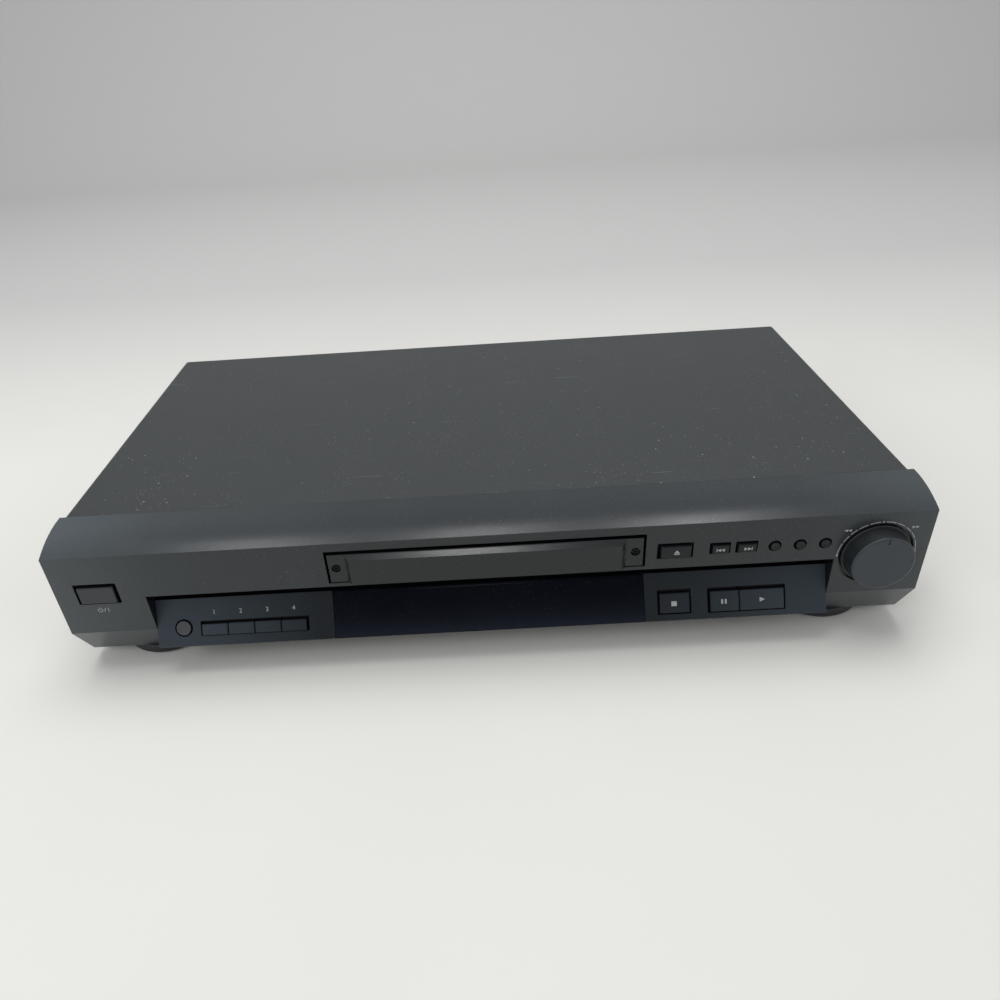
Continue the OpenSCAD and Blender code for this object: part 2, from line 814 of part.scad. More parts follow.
block_x = [phono_x - block_margin, optical_x + optical_w / 2 + 5];
block_z = [board_z + board_t, phono_z + phono_pitch * (phono_rows - 1) + block_margin];
window_lap = 3.5;
svideo_half = 6.5;
svideo_depth = 9.5;

module jack_block() {
    pocket = svideo_half + seat_gap;
    color(MOULD_COLOR) in_place() difference() {
        union() {
            box(block_x, [rear_y - block_back - block_depth, rear_y - block_back], block_z);
            on_rear(optical_x, socket_z) translate([-optical_w / 2, -optical_w / 2, -block_back - 1])
                cube([optical_w, optical_w, block_back + 2]);
        }
        on_rear(svideo_x, socket_z) translate([-pocket, -pocket, -svideo_depth])
            cube([2 * pocket, 2 * pocket, svideo_depth]);
        on_rear(optical_x, socket_z) translate([-3, -2.6, -6]) cube([6, 5.2, 12]);
    }
}

// Mini-DIN socket with its locating key
module s_video_jack() {
    color(MOULD_COLOR) in_place() on_rear(svideo_x, socket_z) difference() {
        union() {
            translate([-svideo_half, -svideo_half, -svideo_depth])
                cube([2 * svideo_half, 2 * svideo_half, svideo_depth - block_back]);
            translate([0, 0, -block_back - eps]) cylinder(r = svideo_r, h = block_back + 1 + eps);
        }
        difference() {
            translate([0, 0, -8]) cylinder(r = svideo_r - 1.4, h = 12);
            translate([-1.2, -4.2, -9]) cube([2.4, 1.6, 14]);
        }
    }
}

module phono_insulators() {
    color(INSULATOR_COLOR) in_place() for (p = PHONO)
        on_rear(p[0], p[1]) translate([0, 0, -block_back])
            tube(insulator_r, pin_bore_r, phono_len - 1 + block_back);
}

module phono_jacks() {
    color(STEEL_COLOR) in_place() for (p = PHONO)
        on_rear(p[0], p[1]) translate([0, 0, -block_back])
            tube(phono_r, insulator_r + 0.03, phono_len + block_back);
}

module mains_inlet() {
    color(DARK_COLOR) in_place() on_rear(inlet_x, inlet_z) {
        difference() {
            union() {
                translate([0, 0, -inlet_body_depth])
                    round_plate(inlet_w - 4, inlet_h - 4, 2, inlet_body_depth + 1);
                round_plate(inlet_w, inlet_h, 3, 1.6);
            }
            translate([0, 0, 1.6 - inlet_depth]) {
                for (s = [-1, 1])
                    translate([s * 6, 0, 0]) cylinder(r = 4.1, h = inlet_depth + 1);
                translate([-6, -3.7, 0]) cube([12, 7.4, inlet_depth + 1]);
            }
        }
        for (s = [-1, 1])
            translate([s * inlet_pitch / 2, 0, 1.6 - inlet_depth - 1])
                cylinder(r = inlet_pin_r, h = inlet_depth - 1, $fn = 24);
    }
}

// ---- tray ----------------------------------------------------------------------------

module disc_tray() {
    pocket = 1.8;
    small_pocket = 2.9;
    color(MOULD_COLOR) in_place() difference() {
        union() {
            box([-tray_half, tray_half], [tray_y + wall_front, tray_end], [deck_z, tray_top]);
            box([-front_half + 0.8, front_half - 0.8], [tray_y, tray_y + wall_front],
                [tray_z, front_top - 1]);
            for (s = [-1, 1])
                box(s < 0 ? [-tray_half, -tray_half + rail_t] : [tray_half - rail_t, tray_half],
                    [tray_y + wall_front, tray_end], [tray_z, deck_z]);
            translate([rack_x, gear_y, tray_z + 0.3]) linear_extrude(deck_z - tray_z - 0.3)
                polygon(rack_points(tray_y + wall_front - gear_y, tray_end - gear_y, 4));
        }
        translate([0, disc_y, tray_top - pocket]) cylinder(r = disc_d / 2, h = pocket + 1, $fn = 128);
        translate([0, disc_y, tray_top - small_pocket])
            cylinder(r = small_disc_d / 2, h = pocket + 1, $fn = 96);
        translate([0, disc_y, deck_z - 1]) cylinder(r = slot_half, h = deck_t + 2);
        box([-slot_half, slot_half], [disc_y, tray_end + 1], [deck_z - 1, tray_top + 1]);
        for (s = [-1, 1])
            translate([s * 48, disc_y - 50, tray_top - 3]) cylinder(r = 12, h = 4);
        for (s = [-1, 1])
            on_face(s * screw_x, screw_z) translate([0, 0, -tray_y - wall_front - 1])
                cylinder(r = 1.15, h = wall_front + 2, $fn = 32);
    }
}

module tray_front() {
    bevel_y = 2;
    color(PANEL_COLOR) in_place() difference() {
        union() {
            box([-front_half, front_half], [front_y, tray_y], [front_z, front_top]);
            intersection() {
                along_x(2 * bar_half) polygon([
                    [tray_y - 1, front_z], [-run_gap - 0.05, front_z], [-run_gap - 0.05, front_z - 0.5],
                    [-bar_reach, front_z - 0.5], [-bar_reach, front_top - 0.4 - bar_bevel],
                    [front_y, front_top - 0.4], [tray_y - 1, front_top - 0.4]
                ]);
                translate([0, 0, front_z - 1]) linear_extrude(front_top) polygon([
                    [-bar_half, tray_y], [-bar_half, front_y], [-bar_half + bevel_y, -bar_reach - eps],
                    [bar_half - bevel_y, -bar_reach - eps], [bar_half, front_y], [bar_half, tray_y]
                ]);
            }
        }
        for (s = [-1, 1]) on_face(s * screw_x, screw_z) {
            translate([0, 0, -front_y - 1.4]) cylinder(r = 2.35, h = 4, $fn = 32);
            translate([0, 0, -tray_y - 1]) cylinder(r = 1.3, h = 6, $fn = 32);
        }
    }
}

module tray_front_screws() {
    color(DARK_COLOR) in_place() for (s = [-1, 1])
        on_face(s * screw_x, screw_z) translate([0, 0, -front_y - 1.4]) difference() {
            union() {
                cylinder(r = 1.6, h = 1.2, $fn = 32);
                translate([0, 0, -3.5]) cylinder(r = 1.1, h = 3.5, $fn = 24);
            }
            translate([0, 0, 0.5]) cylinder(r = 0.75, h = 1, $fn = 6);
        }
}

// ---- loader --------------------------------------------------------------------------

module loader_frame() {
    y1 = loader_y1;
    x1 = wall_x + wall_t;
    opening_y1 = frame_y1 + 3;
    color(MOULD_COLOR) in_place() {
        difference() {
            union() {
                box([-x1, x1], [loader_y0, y1], [loader_z, deck_top]);
                for (s = [-1, 1]) {
                    side = s < 0 ? [-x1, -wall_x] : [wall_x, x1];
                    ledge = s < 0 ? [-wall_x - eps, -wall_x + ledge_in] : [wall_x - ledge_in, wall_x + eps];
                    box(side, [loader_y0, y1], [loader_z, wall_top]);
                    box(ledge, [loader_y0, y1], [tray_z - run_gap - 2, tray_z - run_gap]);
                    for (y = [loader_y0, disc_y + 32])
                        box(s < 0 ? [-x1, -tray_half + 4] : [tray_half - 4, x1], [y, y + 12],
                            [tray_top + 0.4, tray_top + 2.4]);
                }
                box([-x1, x1], [y1 - wall_t, y1], [loader_z, tray_top]);
            }
            box([-frame_half - 4, frame_half + 4], [cam_y - run_gap, opening_y1],
                [loader_z - 1, deck_top + 1]);
            box([-cam_pin_x - 34, cam_pin_x + 34], [cam_y - run_gap, cam_y + cam_t + run_gap + 0.2],
                [loader_z - 1, deck_top + 1]);
            translate([motor_x, gear_y, loader_z - 1]) cylinder(r = 3, h = loader_t + 2);
        }
        for (x = [pinion_x, small_x])
            translate([x, gear_y, deck_top]) {
                cylinder(r = 3, h = 0.7, $fn = 32);
                cylinder(r = gear_axle_r, $fn = 48,
                    h = (x == pinion_x ? pinion_z + pinion_h : pulley_z + pulley_h) - deck_top);
            }
        for (s = [-1, 1], y = [leg_y, leg_end])
            translate([s * leg_x, y, floor_z]) cylinder(r = leg_r, h = loader_z - floor_z);
        for (s = [-1, 1])
            pivot_ear(s);
    }
}

// Ear that carries one of the traverse's rear pivots
module pivot_ear(s) {
    t = 3;
    x0 = s * (frame_half + 4 + t / 2);
    translate([x0, pivot_y, 0]) rotate([90, 0, 90]) translate([0, 0, -t / 2]) difference() {
        translate([-5, loader_z]) cube([10, pivot_z + 5 - loader_z, t]);
        translate([0, pivot_z, -1]) cylinder(r = pivot_r + shaft_gap, h = t + 2, $fn = 48);
    }
}

module clamp_bridge() {
    x1 = wall_x + wall_t;
    color(STEEL_COLOR) in_place() {
        difference() {
            box([-x1, x1], [bridge_y0, bridge_y1], [wall_top, wall_top + bridge_t]);
            translate([0, disc_y, wall_top - 1]) cylinder(r = clamp_hole_r, h = bridge_t + 2);
            for (s = [-1, 1])
                translate([s * 45, disc_y, wall_top - 1]) cylinder(r = 9, h = bridge_t + 2);
        }
        for (y = [bridge_y0, bridge_y1 - bridge_t])
            box([-x1 + 8, x1 - 8], [y, y + bridge_t], [wall_top + bridge_t, wall_top + bridge_t + 3]);
    }
}

module loading_motor() {
    color(STEEL_COLOR) in_place() translate([motor_x, gear_y, loader_z - motor_h]) difference() {
        cylinder(r = motor_r, h = motor_h);
        translate([0, 0, motor_h - 8]) cylinder(r = motor_shaft_r + shaft_gap, h = 9, $fn = 32);
    }
}

// Pulley with a belt groove
module pulley(r, h) {
    half = belt_t / 2 + 0.35;
    rotate_extrude() polygon([
        [0, 0], [r, 0], [r, h / 2 - half - 0.3], [r - groove, h / 2 - half],
        [r - groove, h / 2 + half], [r, h / 2 + half + 0.3], [r, h], [0, h]
    ]);
}

module motor_pulley() {
    color(MOULD_COLOR) in_place() translate([motor_x, gear_y, 0]) {
        translate([0, 0, pulley_z]) pulley(motor_pulley_r, pulley_h);
        translate([0, 0, loader_z - 7])
            cylinder(r = motor_shaft_r, h = pulley_z + pulley_h - loader_z + 7, $fn = 32);
    }
}

module pulley_gear() {
    color(MOULD_COLOR) in_place() translate([small_x, gear_y, 0]) difference() {
        union() {
            translate([0, 0, gear_z]) linear_extrude(gear_t)
                polygon(wheel_points(teeth_small, 180 / teeth_small));
            translate([0, 0, gear_z + gear_t - eps])
                cylinder(r = 4, h = pulley_z - gear_z - gear_t + 2 * eps);
            translate([0, 0, pulley_z]) pulley(pulley_r, pulley_h);
        }
        translate([0, 0, gear_z - 1]) cylinder(r = gear_axle_r + shaft_gap, h = 20, $fn = 48);
    }
}

module drive_gear() {
    color("#d8d8d0") in_place() translate([pinion_x, gear_y, 0]) difference() {
        union() {
            translate([0, 0, gear_z]) linear_extrude(gear_t) polygon(wheel_points(teeth_wheel));
            translate([0, 0, gear_z + gear_t - eps])
                cylinder(r = 4.5, h = pinion_z - gear_z - gear_t + 2 * eps);
            translate([0, 0, pinion_z]) linear_extrude(pinion_h) polygon(wheel_points(teeth_pinion));
        }
        translate([0, 0, gear_z - 1]) cylinder(r = gear_axle_r + shaft_gap, h = 30, $fn = 48);
    }
}

module drive_belt() {
    clear = 0.3;
    d = small_x - motor_x;
    color(DARK_COLOR) in_place() translate([motor_x, gear_y, pulley_z + (pulley_h - belt_t) / 2])
        linear_extrude(belt_t)
        difference() {
            belt_loop(d, clear + belt_t);
            belt_loop(d, clear);
        }
}

module belt_loop(d, grow) {
    hull() {
        circle(motor_pulley_r - groove + grow, $fn = 32);
        translate([d, 0]) circle(pulley_r - groove + grow, $fn = 48);
    }
}

// ---- cam slider and traverse ---------------------------------------------------------

module cam_slider() {
    x0 = -cam_pin_x - cam_travel - 6;
    x1 = cam_pin_x + 6;
    run = sqrt(cam_travel * cam_travel + cam_drop * cam_drop);
    rise = atan2(cam_drop, -cam_travel);
    color("#d8d8d0") in_place() translate([0, cam_y + cam_t, 0]) rotate([90, 0, 0]) difference() {
        translate([x0, cam_z0, 0]) cube([x1 - x0, cam_z1 - cam_z0, cam_t]);
        for (s = [-1, 1])
            translate([s * cam_pin_x, pivot_z - cam_drop, -1]) {
                cylinder(r = cam_slot_r, h = cam_t + 2, $fn = 48);
                translate([-cam_travel, cam_drop, 0]) cylinder(r = cam_slot_r, h = cam_t + 2, $fn = 48);
                rotate([0, 0, rise]) translate([0, -cam_slot_r, 0]) cube([run, 2 * cam_slot_r, cam_t + 2]);
            }
    }
}

// Lowers what is drawn level, about the rear pivot
module dropped() {
    in_place() translate([0, pivot_y, pivot_z]) rotate([drop_angle, 0, 0])
        translate([0, -pivot_y, -pivot_z]) children();
}

module traverse_frame() {
    color(MOULD_COLOR) dropped() {
        difference() {
            union() {
                box([-frame_half, frame_half], [frame_y0, frame_y1], [frame_z, frame_z + frame_t]);
                for (s = [-1, 1])
                    box(s < 0 ? [-frame_half, -frame_half + 3] : [frame_half - 3, frame_half],
                        [frame_y0, frame_y1 - 8], [frame_z - 3, frame_z + eps]);
            }
            box([-frame_half + 6, frame_half - 6], [disc_y + 14, pivot_y - beam_w],
                [frame_z - 1, frame_z + frame_t + 1]);
            translate([0, disc_y, frame_z - 1]) cylinder(r = spindle_r + 0.02, h = frame_t + 2);
        }
        for (s = [-1, 1]) {
            translate([s * (frame_half + 3.5), pivot_y, pivot_z]) rotate([0, 90, 0])
                cylinder(r = pivot_r, h = 7.4, center = true, $fn = 48);
            translate([s * cam_pin_x, frame_y0 + 0.5, pivot_z]) rotate([90, 0, 0])
                cylinder(r = cam_pin_r, h = 8, $fn = 48);
        }
        for (s = [-1, 1], y = [disc_y + 12, pivot_y - beam_w])
            translate([s * rod_x - 3, y, frame_z + frame_t - eps]) difference() {
                cube([6, 4, 3.5]);
                translate([3, -1, rod_lift]) rotate([-90, 0, 0]) cylinder(r = rod_r + 0.02, h = 6, $fn = 32);
            }
    }
}

rod_lift = 1.6;
rod_axis_z = frame_z + frame_t + rod_lift - eps;

module guide_rods() {
    color(STEEL_COLOR) dropped() for (s = [-1, 1])
        translate([s * rod_x, disc_y + 12, rod_axis_z]) rotate([-90, 0, 0])
            cylinder(r = rod_r, h = pivot_y - disc_y - 12, $fn = 32);
}

module traverse_motors() {
    color(STEEL_COLOR) dropped() {
        translate([0, disc_y, frame_z - 5]) tube(spindle_r, 1.3, frame_t + 6.5);
        translate([screw_drive_x, disc_y + 14.5, rod_axis_z]) rotate([-90, 0, 0]) difference() {
            translate([-5, -4, 0]) cube([10, 8, 9]);
            translate([0, 0, 3]) cylinder(r = screw_r + shaft_gap, h = 7, $fn = 32);
        }
    }
}

screw_r = 1.2;

module lead_screw() {
    color(STEEL_COLOR) dropped() translate([screw_drive_x, disc_y + 18, rod_axis_z]) rotate([-90, 0, 0])
        cylinder(r = screw_r, h = pivot_y - disc_y - 19, $fn = 32);
}

module turntable() {
    color(MOULD_COLOR) dropped() translate([0, disc_y, 0]) {
        translate([0, 0, frame_z - 3]) cylinder(r = 1.2, h = seat_z - frame_z, $fn = 32);
        translate([0, 0, frame_z + frame_t + 1.5]) rotate_extrude() polygon([
            [0, 0], [4, 0], [4, seat_z - frame_z - frame_t - 4.5], [table_r, seat_z - frame_z - frame_t - 4],
            [table_r, seat_z - frame_z - frame_t - 1.5], [hub_r, seat_z - frame_z - frame_t - 1.5],
            [hub_r, seat_z - frame_z - frame_t - 0.4], [hub_r - 2, seat_z - frame_z - frame_t + 0.7],
            [0, seat_z - frame_z - frame_t + 0.7]
        ]);
    }
}

module optical_pickup() {
    w = 2 * rod_x + 8;
    color(STEEL_COLOR) dropped() translate([0, pickup_y, 0]) {
        difference() {
            union() {
                translate([-w / 2, 0, rod_axis_z - 3]) cube([w, pickup_len, 6]);
                translate([-12, 3, rod_axis_z - 6]) cube([24, pickup_len - 6, 3.5]);
                translate([screw_drive_x + screw_r + run_gap, 8, rod_axis_z - 2])
                    cube([-screw_drive_x - w / 2 - screw_r - run_gap + 1, 6, 4]);
                translate([0, lens_y, rod_axis_z + 3 - eps]) cylinder(r = lens_holder_r, h = 3);
                translate([0, lens_y, rod_axis_z + 6 - 2 * eps]) cylinder(r = 3, h = 1.4, $fn = 32);
            }
            for (s = [-1, 1])
                translate([s * rod_x, -1, rod_axis_z]) rotate([-90, 0, 0])
                    cylinder(r = rod_r + shaft_gap, h = pickup_len + 2, $fn = 32);
        }
    }
}

module clamper() {
    z0 = wall_top - 0.7;
    color(MOULD_COLOR) in_place() translate([0, disc_y, 0]) {
        translate([0, 0, z0]) cylinder(r = clamp_r, h = 0.7 + bridge_t + run_gap + eps);
        translate([0, 0, wall_top + bridge_t + run_gap]) rotate_extrude() polygon([
            [0, 0], [clamp_flange_r, 0], [clamp_flange_r, 1.2], [clamp_r, 2.2], [5, 2.2], [4, 3.4], [0, 3.4]
        ]);
    }
}

// ---- buttons and dial ----------------------------------------------------------------

cap_back = panel_wall + run_gap;
cap_drop = 0.4;
stem_end = board_depth - switch_h - plunger_h - press - seat_gap;

// Rectangular cap, moved dx off the opening's centre: face, retaining flange and stem
module cap(open_w, open_h, dx, w, h, rim_left = flange_rim, rim_right = flange_rim) {
    bevel = 0.3;
    translate([dx, -cap_drop, 0]) {
        translate([0, 0, -cap_back]) round_plate(w, h, 0.5, cap_back + cap_reach - bevel);
        translate([0, 0, cap_reach - bevel - eps]) round_plate(w - 2 * bevel, h - 2 * bevel, 0.4, bevel);
    }
    translate([-open_w / 2 - rim_left, -open_h / 2 - flange_rim, -cap_back - flange_t])
        cube([open_w + rim_left + rim_right, open_h + 2 * flange_rim, flange_t + eps]);
    translate([0, 0, -stem_end]) cylinder(r = stem_r, h = stem_end - cap_back, $fn = 32);
}

module round_cap(r, open_r) {
    rotate_extrude() polygon([
        [0, -stem_end], [stem_r, -stem_end], [stem_r, -cap_back - flange_t],
        [open_r + flange_rim, -cap_back - flange_t],
        [open_r + flange_rim, -cap_back], [r, -cap_back],
        [r, cap_reach - 0.4], [r - 0.4, cap_reach], [0, cap_reach]
    ]);
}

module upper_button(b) {
    color(PANEL_COLOR) in_place() on_face(b[1], b[2]) cap(b[3], b[4], b[5], b[6], b[7]);
}

module round_button(b) {
    color(PANEL_COLOR) in_place() on_face(b[1], round_z) round_cap(round_cap_r, round_open_r);
}

module lower_button(b) {
    inner = -split_gap / 2 - 0.3;
    color(PANEL_COLOR) in_place() on_slope(b[1], b[2])
        cap(b[3], b[4], b[5], b[6], b[7], b[5] < 0 ? inner : flange_rim, b[5] > 0 ? inner : flange_rim);
}

module memory_button() {
    color(PANEL_COLOR) in_place() on_slope(memory_x, memory_v) round_cap(memory_cap_r, memory_open_r);
}

function sound_place(i) = sound_x + (i - (sound_count - 1) / 2) * sound_pitch;

module sound_button(i) {
    w = sound_pitch - split_gap;
    end_rim = (sound_w - sound_pitch * sound_count) / 2 + flange_rim + split_gap / 2;
    left = i == 0 ? end_rim : 0;
    right = i == sound_count - 1 ? end_rim : 0;
    color(PANEL_COLOR) in_place() on_slope(sound_place(i), sound_v)
        cap(w, sound_h, 0, w, sound_h - 1.6, left, right);
}

module shuttle_knob() {
    skirt_r = dial_r + 0.6;
    r1 = dial_r - 0.3;
    r2 = dial_r - 1.3;
    back = run_gap - dial_groove_d;
    color(PANEL_COLOR) in_place() on_face(dial_place, dial_z) {
        difference() {
            rotate_extrude($fn = 128) polygon([
                [0, back], [skirt_r, back], [skirt_r, 0.2], [skirt_r - 0.3, 0.5],
                [r1, 0.5], [r2 + 0.3, dial_reach - 0.9],
                [r2, dial_reach - 0.35], [r2 - 0.7, dial_reach], [0, dial_reach]
            ]);
            translate([0, 0, back - 1]) tube(dial_r - 3.4, 5.4, dial_reach - 1);
            translate([-0.5, r2 - 3, dial_reach - 0.5]) cube([1, 5, 1]);
        }
        translate([0, 0, -board_depth + 1.3])
            cylinder(r = shaft_r, h = board_depth - 1.3 + back + eps, $fn = 48);
    }
}

// ---- assembly ------------------------------------------------------------------------

base_chassis();
top_cover();
cover_screws();
rear_panel();
front_panel();
lower_panel();
display_window();
for (p = FEET) foot(p[1], p[2]);
foot_pads();
display_tube();
display_board();
control_board();
shuttle_encoder();
power_switch_board();
main_board();
main_chips();
power_supply_board();
supply_parts();
jack_block();
s_video_jack();
phono_insulators();
phono_jacks();
mains_inlet();
loader_frame();
clamp_bridge();
loading_motor();
drive_belt();
motor_pulley();
pulley_gear();
drive_gear();
disc_tray();
tray_front();
tray_front_screws();
cam_slider();
traverse_frame();
traverse_motors();
guide_rods();
lead_screw();
turntable();
optical_pickup();
clamper();
shuttle_knob();
for (b = BUTTONS_UPPER) upper_button(b);
for (b = BUTTONS_ROUND) round_button(b);
for (b = BUTTONS_LOWER) lower_button(b);
memory_button();
for (i = [0:sound_count - 1]) sound_button(i);
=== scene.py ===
"""Looks and stage for a low disc player: softened shells, signs, materials, light and camera."""

import json
import math

import bpy
from mathutils import Matrix, Vector


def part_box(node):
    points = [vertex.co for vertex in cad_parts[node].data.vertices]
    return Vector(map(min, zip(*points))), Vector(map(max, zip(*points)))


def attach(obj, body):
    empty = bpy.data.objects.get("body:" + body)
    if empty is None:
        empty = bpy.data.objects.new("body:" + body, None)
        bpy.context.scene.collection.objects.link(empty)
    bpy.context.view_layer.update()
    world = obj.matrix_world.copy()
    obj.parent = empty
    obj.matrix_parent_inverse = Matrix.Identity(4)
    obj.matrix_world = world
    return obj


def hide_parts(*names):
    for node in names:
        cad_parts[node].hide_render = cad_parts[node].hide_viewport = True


bl_info = {
    "name": "Disc player looks",
    "version": (1, 0, 0),
    "blender": (4, 5, 0),
    "location": "View3D > Sidebar > Disc Player",
    "description": "Dresses the disc player's solids and stages them",
    "category": "Object",
}

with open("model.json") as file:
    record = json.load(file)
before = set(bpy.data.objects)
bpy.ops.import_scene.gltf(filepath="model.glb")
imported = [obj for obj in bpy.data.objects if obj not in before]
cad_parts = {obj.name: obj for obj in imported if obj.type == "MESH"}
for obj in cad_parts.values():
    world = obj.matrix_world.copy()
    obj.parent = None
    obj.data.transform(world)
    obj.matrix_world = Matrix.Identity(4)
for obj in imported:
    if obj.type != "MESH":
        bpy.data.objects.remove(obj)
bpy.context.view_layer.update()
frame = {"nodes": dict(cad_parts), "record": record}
BODY_OF = {
    node: body
    for body, nodes in frame["record"]["behaviour"]["bodies"].items()
    for node in nodes
}

# Shared places of the front, in metres, read from the solids where they can be
DIAL_LOW, DIAL_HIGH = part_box("shuttle_knob")
FACE_LOW, FACE_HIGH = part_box("front_panel")
FACE_Y = FACE_LOW[1]
COVER_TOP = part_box("top_cover")[1][2]
CHIN_Z = 0.0272
SLOPE = math.radians(28.0)
CAP_REACH = 0.0008
CAP_RIM = 0.0002
DISH_STEPS = (0.0005, 0.0006, 0.0006)
TOP_DRAFT = 0.00045
BROW_DEPTH = 0.04
# Top and foot of the window's painted light, which grows towards the foot
WINDOW_LIGHT_TOP, WINDOW_LIGHT_FOOT = 0.0380, 0.0185
OPENINGS_HALF = 0.209
DIAL_SCALE_R = 0.0188
DIAL_SPANS = ((4, 19), (22, 35), (38, 49.5), (52.5, 64.5), (67.5, 88))
DIAL_ARROWS = (0.0161, 0.0148)
SIGN_T = 0.00006
NUMERAL_SIZE = 0.0034
NUMERAL_RAISE = 0.0082
STANDBY_DROP = 0.0098
# Near-black colour of the painted shade on inner walls, gaps and screw wells
PAINTED_SHADE_DARK = (0.006, 0.006, 0.008)
DIAL_X = (DIAL_LOW[0] + DIAL_HIGH[0]) / 2
DIAL_Z = (DIAL_LOW[2] + DIAL_HIGH[2]) / 2

# Places of the signs: sideways, and up the upright face or the lower panel's slope
UPPER_KEYS = {
    "power_button": (-0.19375, 0.0517),
    "eject_button": (0.0929, 0.0586),
    "skip_back_button": (0.1144, 0.0586),
    "skip_forward_button": (0.1269, 0.0586),
    "random_button": (0.1403, 0.0589),
    "repeat_button": (0.1524, 0.0589),
    "ab_repeat_button": (0.1645, 0.0589),
}
LOWER_KEYS = {
    "stop_button": (0.0938, -0.0011),
    "pause_button": (0.1189, -0.0013),
    "play_button": (0.1382, -0.0012),
    "memory_button": (-0.1567, -0.0002),
    "sound_button_1": (-0.14055, -0.00095),
    "sound_button_2": (-0.12685, -0.00095),
    "sound_button_3": (-0.11315, -0.00095),
    "sound_button_4": (-0.09945, -0.00095),
}

# Tones along the width, from the left end (0) to the right end (1), and what the brow adds from
# the face (0) back over BROW_DEPTH (1). They stand in for uneven light.
FRONT_PAINTED_LIGHT = ((0.0, 2.6), (0.05, 2.1), (0.12, 1.4), (0.2, 1.15), (0.29, 1.05), (0.34, 0.9),
               (0.68, 0.85), (0.86, 1.0), (0.93, 1.35), (1.0, 1.9))
BROW_PAINTED_LIGHT = ((0.0, 0.0), (0.2, 0.05), (0.4, 0.3), (0.8, 0.65))
LOWER_PAINTED_LIGHT = ((0.12, 2.1), (0.17, 1.8), (0.30, 0.5), (0.5, 0.4), (0.7, 0.6), (0.75, 0.8),
               (0.81, 1.25), (0.86, 1.6), (0.9, 1.8))

# How far the rim of each cap's face is drawn in: left, right, below and above
CAP_DRAFT = {
    "power_button": (0.0001, 0.0003, 0.0, 0.0003),
    "eject_button": (0.0009, 0.0, 0.0, 0.0004),
    "skip_back_button": (0.0007, 0.0, 0.0, 0.0004),
    "skip_forward_button": (0.0006, 0.0, 0.0, 0.0004),
    "stop_button": (0.0002, 0.0, 0.0002, 0.0006),
    "pause_button": (0.0004, 0.0, 0.0001, 0.0006),
    "play_button": (0.0, 0.0, 0.0001, 0.0006),
    "sound_button_1": (0.0, 0.0, 0.0, 0.0005),
    "sound_button_2": (0.0, 0.0, 0.0, 0.0004),
    "sound_button_3": (0.0, 0.0, 0.0, 0.0004),
    "sound_button_4": (0.0, 0.0005, 0.0, 0.0005),
}

# Ceiling lamps: sideways place, width and power
CEILING_LAMPS = ((-0.68, 0.16, 2.8), (-0.04, 0.22, 2.85), (0.56, 0.16, 3.7))
CEILING_Y = 0.02

# Camera: lens and sensor width in millimetres, lens shift, place, and its right and back sides
LENS, SENSOR = 27.56, 36.0
LENS_SHIFT = (0.0228, -0.0189)
CAMERA_PLACE = (0.00597, -0.40893, 0.2893)
CAMERA_RIGHT = (0.9981, -0.0129, -0.0598)
CAMERA_BACK = (0.0206, -0.8494, 0.5274)


# ---- sizes and colours that a user would change ----------------------------------------


class DiscPlayerEdges(bpy.types.PropertyGroup):
    """Edge radii of the moulded and folded shells"""

    shell: bpy.props.FloatProperty(
        name="Front shell", description="Edge radius of the moulded front",
        default=0.0005, unit="LENGTH")
    cover: bpy.props.FloatProperty(
        name="Cover", description="Edge radius of the folded steel cover",
        default=0.00025, unit="LENGTH")
    key: bpy.props.FloatProperty(
        name="Keys", description="Edge radius of the key caps",
        default=0.00018, unit="LENGTH")
    small: bpy.props.FloatProperty(
        name="Fittings", description="Edge radius of screws, jacks and small fittings",
        default=0.00012, unit="LENGTH")


class DiscPlayerColours(bpy.types.PropertyGroup):
    """Colours of the finishes"""

    cover: bpy.props.FloatVectorProperty(
        name="Cover paint", description="Textured paint of the steel cover",
        subtype="COLOR", default=(0.0200, 0.0244, 0.0258))
    front: bpy.props.FloatVectorProperty(
        name="Front plastic", description="Satin plastic of the front and keys",
        subtype="COLOR", default=(0.0230, 0.0278, 0.0304))
    lower: bpy.props.FloatVectorProperty(
        name="Lower panel", description="Plastic of the tilted lower panel",
        subtype="COLOR", default=(0.0175, 0.0232, 0.0285))
    window: bpy.props.FloatVectorProperty(
        name="Display window", description="Smoked display window",
        subtype="COLOR", default=(0.0040, 0.0050, 0.0085))
    sign: bpy.props.FloatVectorProperty(
        name="Signs", description="Printed signs on the keys and the face",
        subtype="COLOR", default=(0.38, 0.39, 0.38))
    floor: bpy.props.FloatVectorProperty(
        name="Floor", description="Pale floor",
        subtype="COLOR", default=(0.80, 0.79, 0.745))
    backdrop: bpy.props.FloatVectorProperty(
        name="Backdrop", description="Backdrop behind the player",
        subtype="COLOR", default=(0.61, 0.61, 0.59))


# ---- helpers ---------------------------------------------------------------------------


def deselect():
    """Leave object mode with nothing selected."""
    if bpy.context.object and bpy.context.object.mode != "OBJECT":
        bpy.ops.object.mode_set(mode="OBJECT")
    bpy.ops.object.select_all(action="DESELECT")


def make_active(piece):
    """Select one piece alone and make it active."""
    deselect()
    piece.select_set(True)
    bpy.context.view_layer.objects.active = piece


def rename(piece, name):
    """Give a piece and its mesh one name."""
    piece.name = name
    piece.data.name = name
    return piece


def apply_modifiers(piece):
    """Apply every modifier of a piece, in order."""
    make_active(piece)
    for modifier in list(piece.modifiers):
        bpy.ops.object.modifier_apply(modifier=modifier.name)


def apply_place(piece):
    """Put a piece's place into its mesh."""
    make_active(piece)
    bpy.ops.object.transform_apply(location=True, rotation=True, scale=True)


def paint(piece, material):
    """Give a piece one material."""
    piece.data.materials.clear()
    piece.data.materials.append(material)


